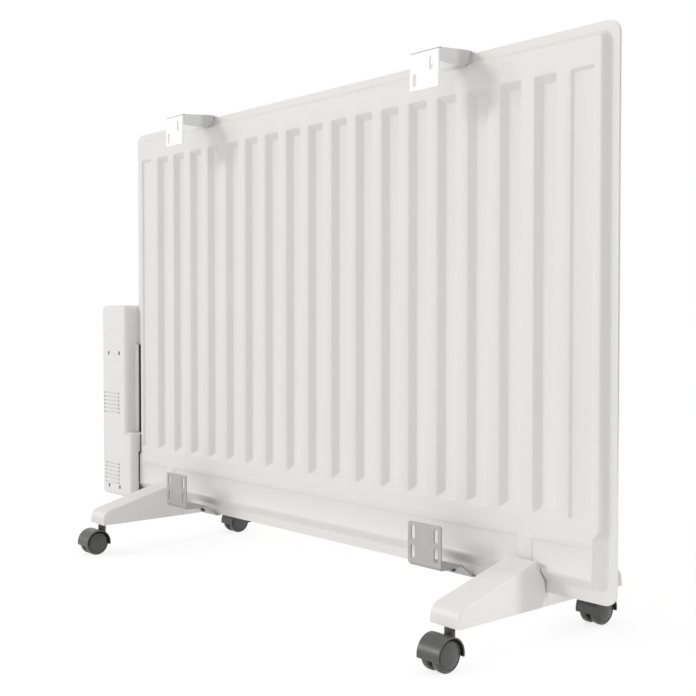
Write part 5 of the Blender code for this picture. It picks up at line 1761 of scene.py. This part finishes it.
@dataclass
class TopBracket(WallBracket):
    """An upper bracket: a slotted plate bent into a strap that hooks over the panel, with a web."""

    plate_width: float = 46.5 * MM
    plate_height: float = 44 * MM
    drop: float = 4.5 * MM
    web_height: float = 14.5 * MM
    web_clearance: float = 5 * MM
    hook_width: float = 36 * MM
    hook_reach: float = 12 * MM
    lip_clearance: float = 0.8 * MM
    slot_width: float = 5.5 * MM
    slot_length: float = 15.2 * MM
    slot_spread: float = 26.7 * MM
    slot_shift: float = 1.9 * MM
    slot_rise: float = 16.4 * MM
    slot_drop: float = 1.7 * MM

    def build(self) -> None:
        """Bends the strip, adds the web and cuts the slots."""
        node = f"{self.word}_top_bracket"
        middle, lip = self.plate_middle, self.lip_middle
        plate_high = PANEL.top - self.drop
        plate_low = plate_high - self.plate_height
        strap = PANEL.top + HAIR + self.steel / 2
        corners = [(middle, plate_low), (middle, plate_high), (self.hook_reach, strap), (lip, strap),
                   (lip, PANEL.top - PANEL.flange + self.lip_clearance)]
        radii = [0, self.bend, self.bend, self.steel / 2 + HAIR, 0]
        path = rounded(corners, radii, self.bend_steps, closed=False)
        run = middle - self.hook_reach

        def width(y: float, z: float) -> float:
            """The plate's width, narrowing to the hook's along the strap."""
            share = min(1.0, max(0.0, (middle - y) / run))
            return self.plate_width + (self.hook_width - self.plate_width) * share

        bracket = self.bench.piece(f"{node}_steel", self.strip("strip", path, width), BRACKET_ENAMEL, node,
                                   "bracket_enamel", self.bench.below(node))
        self.thicken(bracket)
        self.bench.tool(bracket, self.web_mesh(plate_high, strap), "UNION")
        centre = (plate_high + plate_low) / 2 - self.slot_drop
        for sign in (-1, 1):
            spot = (self.slot_shift + sign * self.slot_spread / 2, centre - sign * self.slot_rise / 2)
            self.bench.cut(bracket, self.slot(spot, self.slot_width, self.slot_length))
        self.bench.ease(bracket, self.eased, self.eased_steps, self.eased_angle)

    def web_mesh(self, high: float, strap: float) -> Mesh:
        """Makes the web under the strap, which leans in along the strap's narrowing side.

        Args:
            high: The plate's top.
            strap: The level of the strap's middle over the panel.

        Returns:
            The closed mesh.
        """
        middle, low = self.plate_middle, high - self.web_height
        outer = PANEL.field_face + self.web_clearance
        inner = PANEL.flange_face + self.web_clearance
        flange_low = PANEL.top - PANEL.flange
        points = [(middle, low), (middle, high), (self.hook_reach, strap), (inner, strap),
                  (inner, flange_low), (outer, flange_low - PANEL.wall), (outer, low)]
        side = -self.plate_width / 2 + self.steel / 2
        mesh = prism("web", points[::-1], self.steel, Lie.ALONG, side)
        for vert in mesh.vertices:
            share = min(1.0, (middle - vert.co.y) / (middle - outer))
            vert.co.x += (self.plate_width - self.hook_width) / 2 * share
        return mesh


@dataclass
class BottomBracket(WallBracket):
    """A lower bracket: a plate with four slots, bent into an arm that hooks under the panel."""

    plate_width: float = 54.5 * MM
    plate_height: float = 48 * MM
    plate_rise: float = 19.2 * MM
    arm_width: float = 50 * MM
    arm_rise: float = 15.2 * MM
    arm_bend: float = 4 * MM
    arm_inner: float = 27.5 * MM
    hook_outer: float = 5.5 * MM
    hook_width: float = 44 * MM
    hook_lip: float = 9 * MM
    bend_steps: int = 9
    plate_corner: float = 3.5 * MM
    corner_steps: int = 6
    slot_width: float = 6.5 * MM
    slot_length: float = 17 * MM
    slot_spread: float = 38 * MM
    slot_pitch: float = 22.9 * MM
    screw_bore: float = 2.3 * MM

    def build(self) -> None:
        """Bends the strip, cuts the slots and the screw's hole, and dresses the screw."""
        node = f"{self.word}_bottom_bracket"
        middle, lip = self.plate_middle, self.lip_middle
        plate_low = PANEL.bottom + self.plate_rise
        plate_high = plate_low + self.plate_height
        arm = PANEL.bottom + self.arm_rise
        under = PANEL.bottom - HAIR - self.steel / 2
        corners = [(middle, plate_high), (middle, arm), (self.arm_inner, arm), (self.hook_outer, under),
                   (lip, under), (lip, under + self.hook_lip)]
        radii = [0, self.arm_bend, self.bend, self.bend, self.steel / 2 + HAIR, 0]
        path = rounded(corners, radii, self.bend_steps, closed=False)
        shoulder = arm + self.arm_bend

        def width(y: float, z: float) -> float:
            """The plate's width, then the arm's, narrowing to the hook's.

            Args:
                y: How far the point is from the seam.
                z: How high it is.

            Returns:
                The width.
            """
            if z > shoulder - HAIR:
                return self.plate_width
            if y > self.arm_inner:
                share = min(1.0, (shoulder - z) / (self.arm_bend / 2))
                return self.plate_width + (self.arm_width - self.plate_width) * share
            share = min(1.0, (self.arm_inner - y) / (self.arm_inner - self.hook_outer))
            return self.arm_width + (self.hook_width - self.arm_width) * share

        def at_top(a: Vector, b: Vector) -> bool:
            """True of the plate's upper corners."""
            return min(a.z, b.z) > plate_high - HAIR

        mesh = self.strip("strip", path, width)
        round_edges(mesh, self.plate_corner, self.corner_steps, at_top, corners=True)
        bracket = self.bench.piece(f"{node}_steel", mesh, PLATED_STEEL, node, "bracket_zinc",
                                   self.bench.below(node))
        self.thicken(bracket)
        centre = (plate_low + plate_high) / 2
        for row in (-1, 1):
            for column in (-1, 1):
                spot = (column * self.slot_spread / 2, centre + row * self.slot_pitch / 2)
                self.bench.cut(bracket, self.slot(spot, self.slot_width, self.slot_length))
        lean = math.atan2(arm - under, self.arm_inner - self.hook_outer)
        hole = rod("screw_hole", self.screw_bore, (-2 * self.steel, 2 * self.steel), Lie.FLAT)
        hole.transform(Matrix.Translation((0, (self.arm_inner + self.hook_outer) / 2, (arm + under) / 2))
                       @ Matrix.Rotation(lean, 4, "X"))
        self.bench.cut(bracket, hole)
        self.bench.ease(bracket, self.eased, self.eased_steps, self.eased_angle)
        self.bench.dress(BOSS_NYLON, f"{node}_screw")


@dataclass
class Element:
    """The heating element in the bottom header, with its plug."""

    bench: Bench

    def build(self) -> None:
        """Dresses the element and its plug."""
        self.bench.dress(PLATED_FASTENER, "heating_element")
        self.bench.dress(PLUG_BRASS, "element_plug")


class Sun(NamedTuple):
    """A sun lamp: the way its light goes, its strength, and its width in degrees."""

    name: str
    way: Triple
    strength: float
    width: float


@dataclass
class Studio:
    """A plain pale floor, soft light, and the camera where the photograph was taken from."""

    bench: Bench
    lens: float = 55.63
    sensor: float = 36.0
    camera_place: Triple = (-1.15767, 0.9641, 0.3705)
    camera_pitch: float = 1.5345
    camera_yaw: float = 48.7395
    camera_near: float = 50 * MM
    # the key from the box's side, a weak one beside it, and one on the room side
    suns: tuple[Sun, ...] = (Sun("key", (-70, -100, -52), 0.78, 14.0),
                             Sun("side", (-75, -62, -22), 0.20, 10.0),
                             Sun("room", (-10, 100, -30), 0.50, 16.0))
    sky: float = 0.72
    white: str = "#FFFFFF"
    # the fill lights the foot at the panel's near end from the side
    fill_place: Triple = (-0.96, -0.235, 0.40)
    fill_target: Triple = (-0.42, 0.13, 0.05)
    fill_power: float = 6.5
    fill_cone: float = 32.0
    fill_radius: float = 0.05
    floor_size: float = 60.0
    floor_glow: float = 0.80
    floor_colour: str = "#F2F2F2"
    floor_shade: str = "#8C8C8C"

    def build(self) -> None:
        """Sets the floor, the light and the camera."""
        self.floor()
        self.world()
        self.lamps()
        self.camera()

    def floor(self) -> None:
        """Lays the floor, which is white to the camera and still takes the object's shadow."""
        mesh = bpy.data.meshes.new("floor")
        half = self.floor_size / 2
        mesh.from_pydata([(-half, -half, 0), (half, -half, 0), (half, half, 0), (-half, half, 0)], [],
                         [(0, 1, 2, 3)])
        made = bpy.data.objects.new("floor", mesh)
        bpy.context.scene.collection.objects.link(made)
        paint = bpy.data.materials.new("matt_white_floor")
        paint.use_nodes = True
        tree = paint.node_tree
        tree.nodes.clear()
        matt = add_node(tree, "BsdfDiffuse", {"Color": linear(self.floor_colour)})
        shade = add_node(tree, "BsdfDiffuse", {"Color": linear(self.floor_shade)})
        glow = add_node(tree, "Emission", {"Color": linear(self.white), "Strength": self.floor_glow})
        pale = add_node(tree, "AddShader", {}, {0: shade.outputs[0], 1: glow.outputs[0]})
        mixed = add_node(tree, "MixShader", {}, {0: self.seen(tree), 1: matt.outputs[0], 2: pale.outputs[0]})
        add_node(tree, "OutputMaterial", {}, {"Surface": mixed.outputs[0]})
        mesh.materials.append(paint)

    def seen(self, tree: NodeTree) -> NodeSocket:
        """Tells what is seen from what only lights.

        Args:
            tree: The node tree.

        Returns:
            1 for what is seen straight, in a reflection or through glass, and else 0.
        """
        path = add_node(tree, "LightPath")
        both = add_node(tree, "Math", {"operation": "MAXIMUM"},
                        {0: path.outputs["Is Camera Ray"], 1: path.outputs["Is Glossy Ray"]})
        return add_node(tree, "Math", {"operation": "MAXIMUM"},
                        {0: both.outputs[0], 1: path.outputs["Is Transmission Ray"]}).outputs[0]

    def world(self) -> None:
        """Lights the scene evenly, and shows white behind it."""
        world = bpy.data.worlds.new("studio")
        world.use_nodes = True
        bpy.context.scene.world = world
        tree = world.node_tree
        tree.nodes.clear()
        light, white = (add_node(tree, "Background", {"Color": linear(self.white), "Strength": strength})
                        for strength in (self.sky, 1.0))
        mixed = add_node(tree, "MixShader", {},
                         {0: self.seen(tree), 1: light.outputs[0], 2: white.outputs[0]})
        add_node(tree, "OutputWorld", {}, {"Surface": mixed.outputs[0]})

    def stand(self, name: str, data: ID, place: Vector, way: Vector) -> Object:
        """Stands a lamp or the camera in the scene.

        Args:
            name: Its name.
            data: The lamp or the camera.
            place: Where it stands.
            way: The way it looks.

        Returns:
            The new object.
        """
        made = bpy.data.objects.new(name, data)
        bpy.context.scene.collection.objects.link(made)
        made.location = place
        made.rotation_mode = "QUATERNION"
        made.rotation_quaternion = way.to_track_quat("-Z", "Y")
        return made

    def lamps(self) -> None:
        """Adds the suns and the weak fill lamp."""
        for sun in self.suns:
            lamp = bpy.data.lights.new(sun.name, "SUN")
            lamp.energy = sun.strength
            lamp.angle = math.radians(sun.width)
            self.stand(sun.name, lamp, Vector(), Vector(sun.way))
        lamp = bpy.data.lights.new("fill", "SPOT")
        lamp.energy = self.fill_power
        lamp.spot_size = math.radians(self.fill_cone)
        lamp.spot_blend = 1.0
        lamp.shadow_soft_size = self.fill_radius
        place = Vector(self.fill_place)
        self.stand("fill", lamp, place + self.bench.origin, Vector(self.fill_target) - place)

    def camera(self) -> None:
        """Places the camera that was fitted to the photograph."""
        data = bpy.data.cameras.new("camera")
        data.lens = self.lens
        data.sensor_width = self.sensor
        data.clip_start = self.camera_near
        data.clip_end = self.floor_size
        pitch, yaw = math.radians(self.camera_pitch), math.radians(self.camera_yaw)
        look = Vector((math.sin(yaw) * math.cos(pitch), -math.cos(yaw) * math.cos(pitch), -math.sin(pitch)))
        place = Vector(self.camera_place) + self.bench.origin
        bpy.context.scene.camera = self.stand("camera", data, place, look)


def main() -> None:
    """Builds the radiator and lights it."""
    logging.basicConfig(level=logging.INFO, format="%(name)s: %(message)s")
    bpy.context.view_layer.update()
    bench = Bench.from_frame()
    PressedPanel(bench).build()
    Element(bench).build()
    for word in ("left", "right"):
        Foot(bench, word).build()
        for place in ("rear", "front"):
            Caster(bench, f"{word}_{place}").build()
        TopBracket(bench, word).build()
        BottomBracket(bench, word).build()
    ControlBox(bench).build()
    Controls(bench).build()
    Studio(bench).build()
    settings = bpy.context.scene.view_settings
    settings.view_transform = "Standard"
    bpy.context.view_layer.update()


if __name__ == "__main__":
    main()
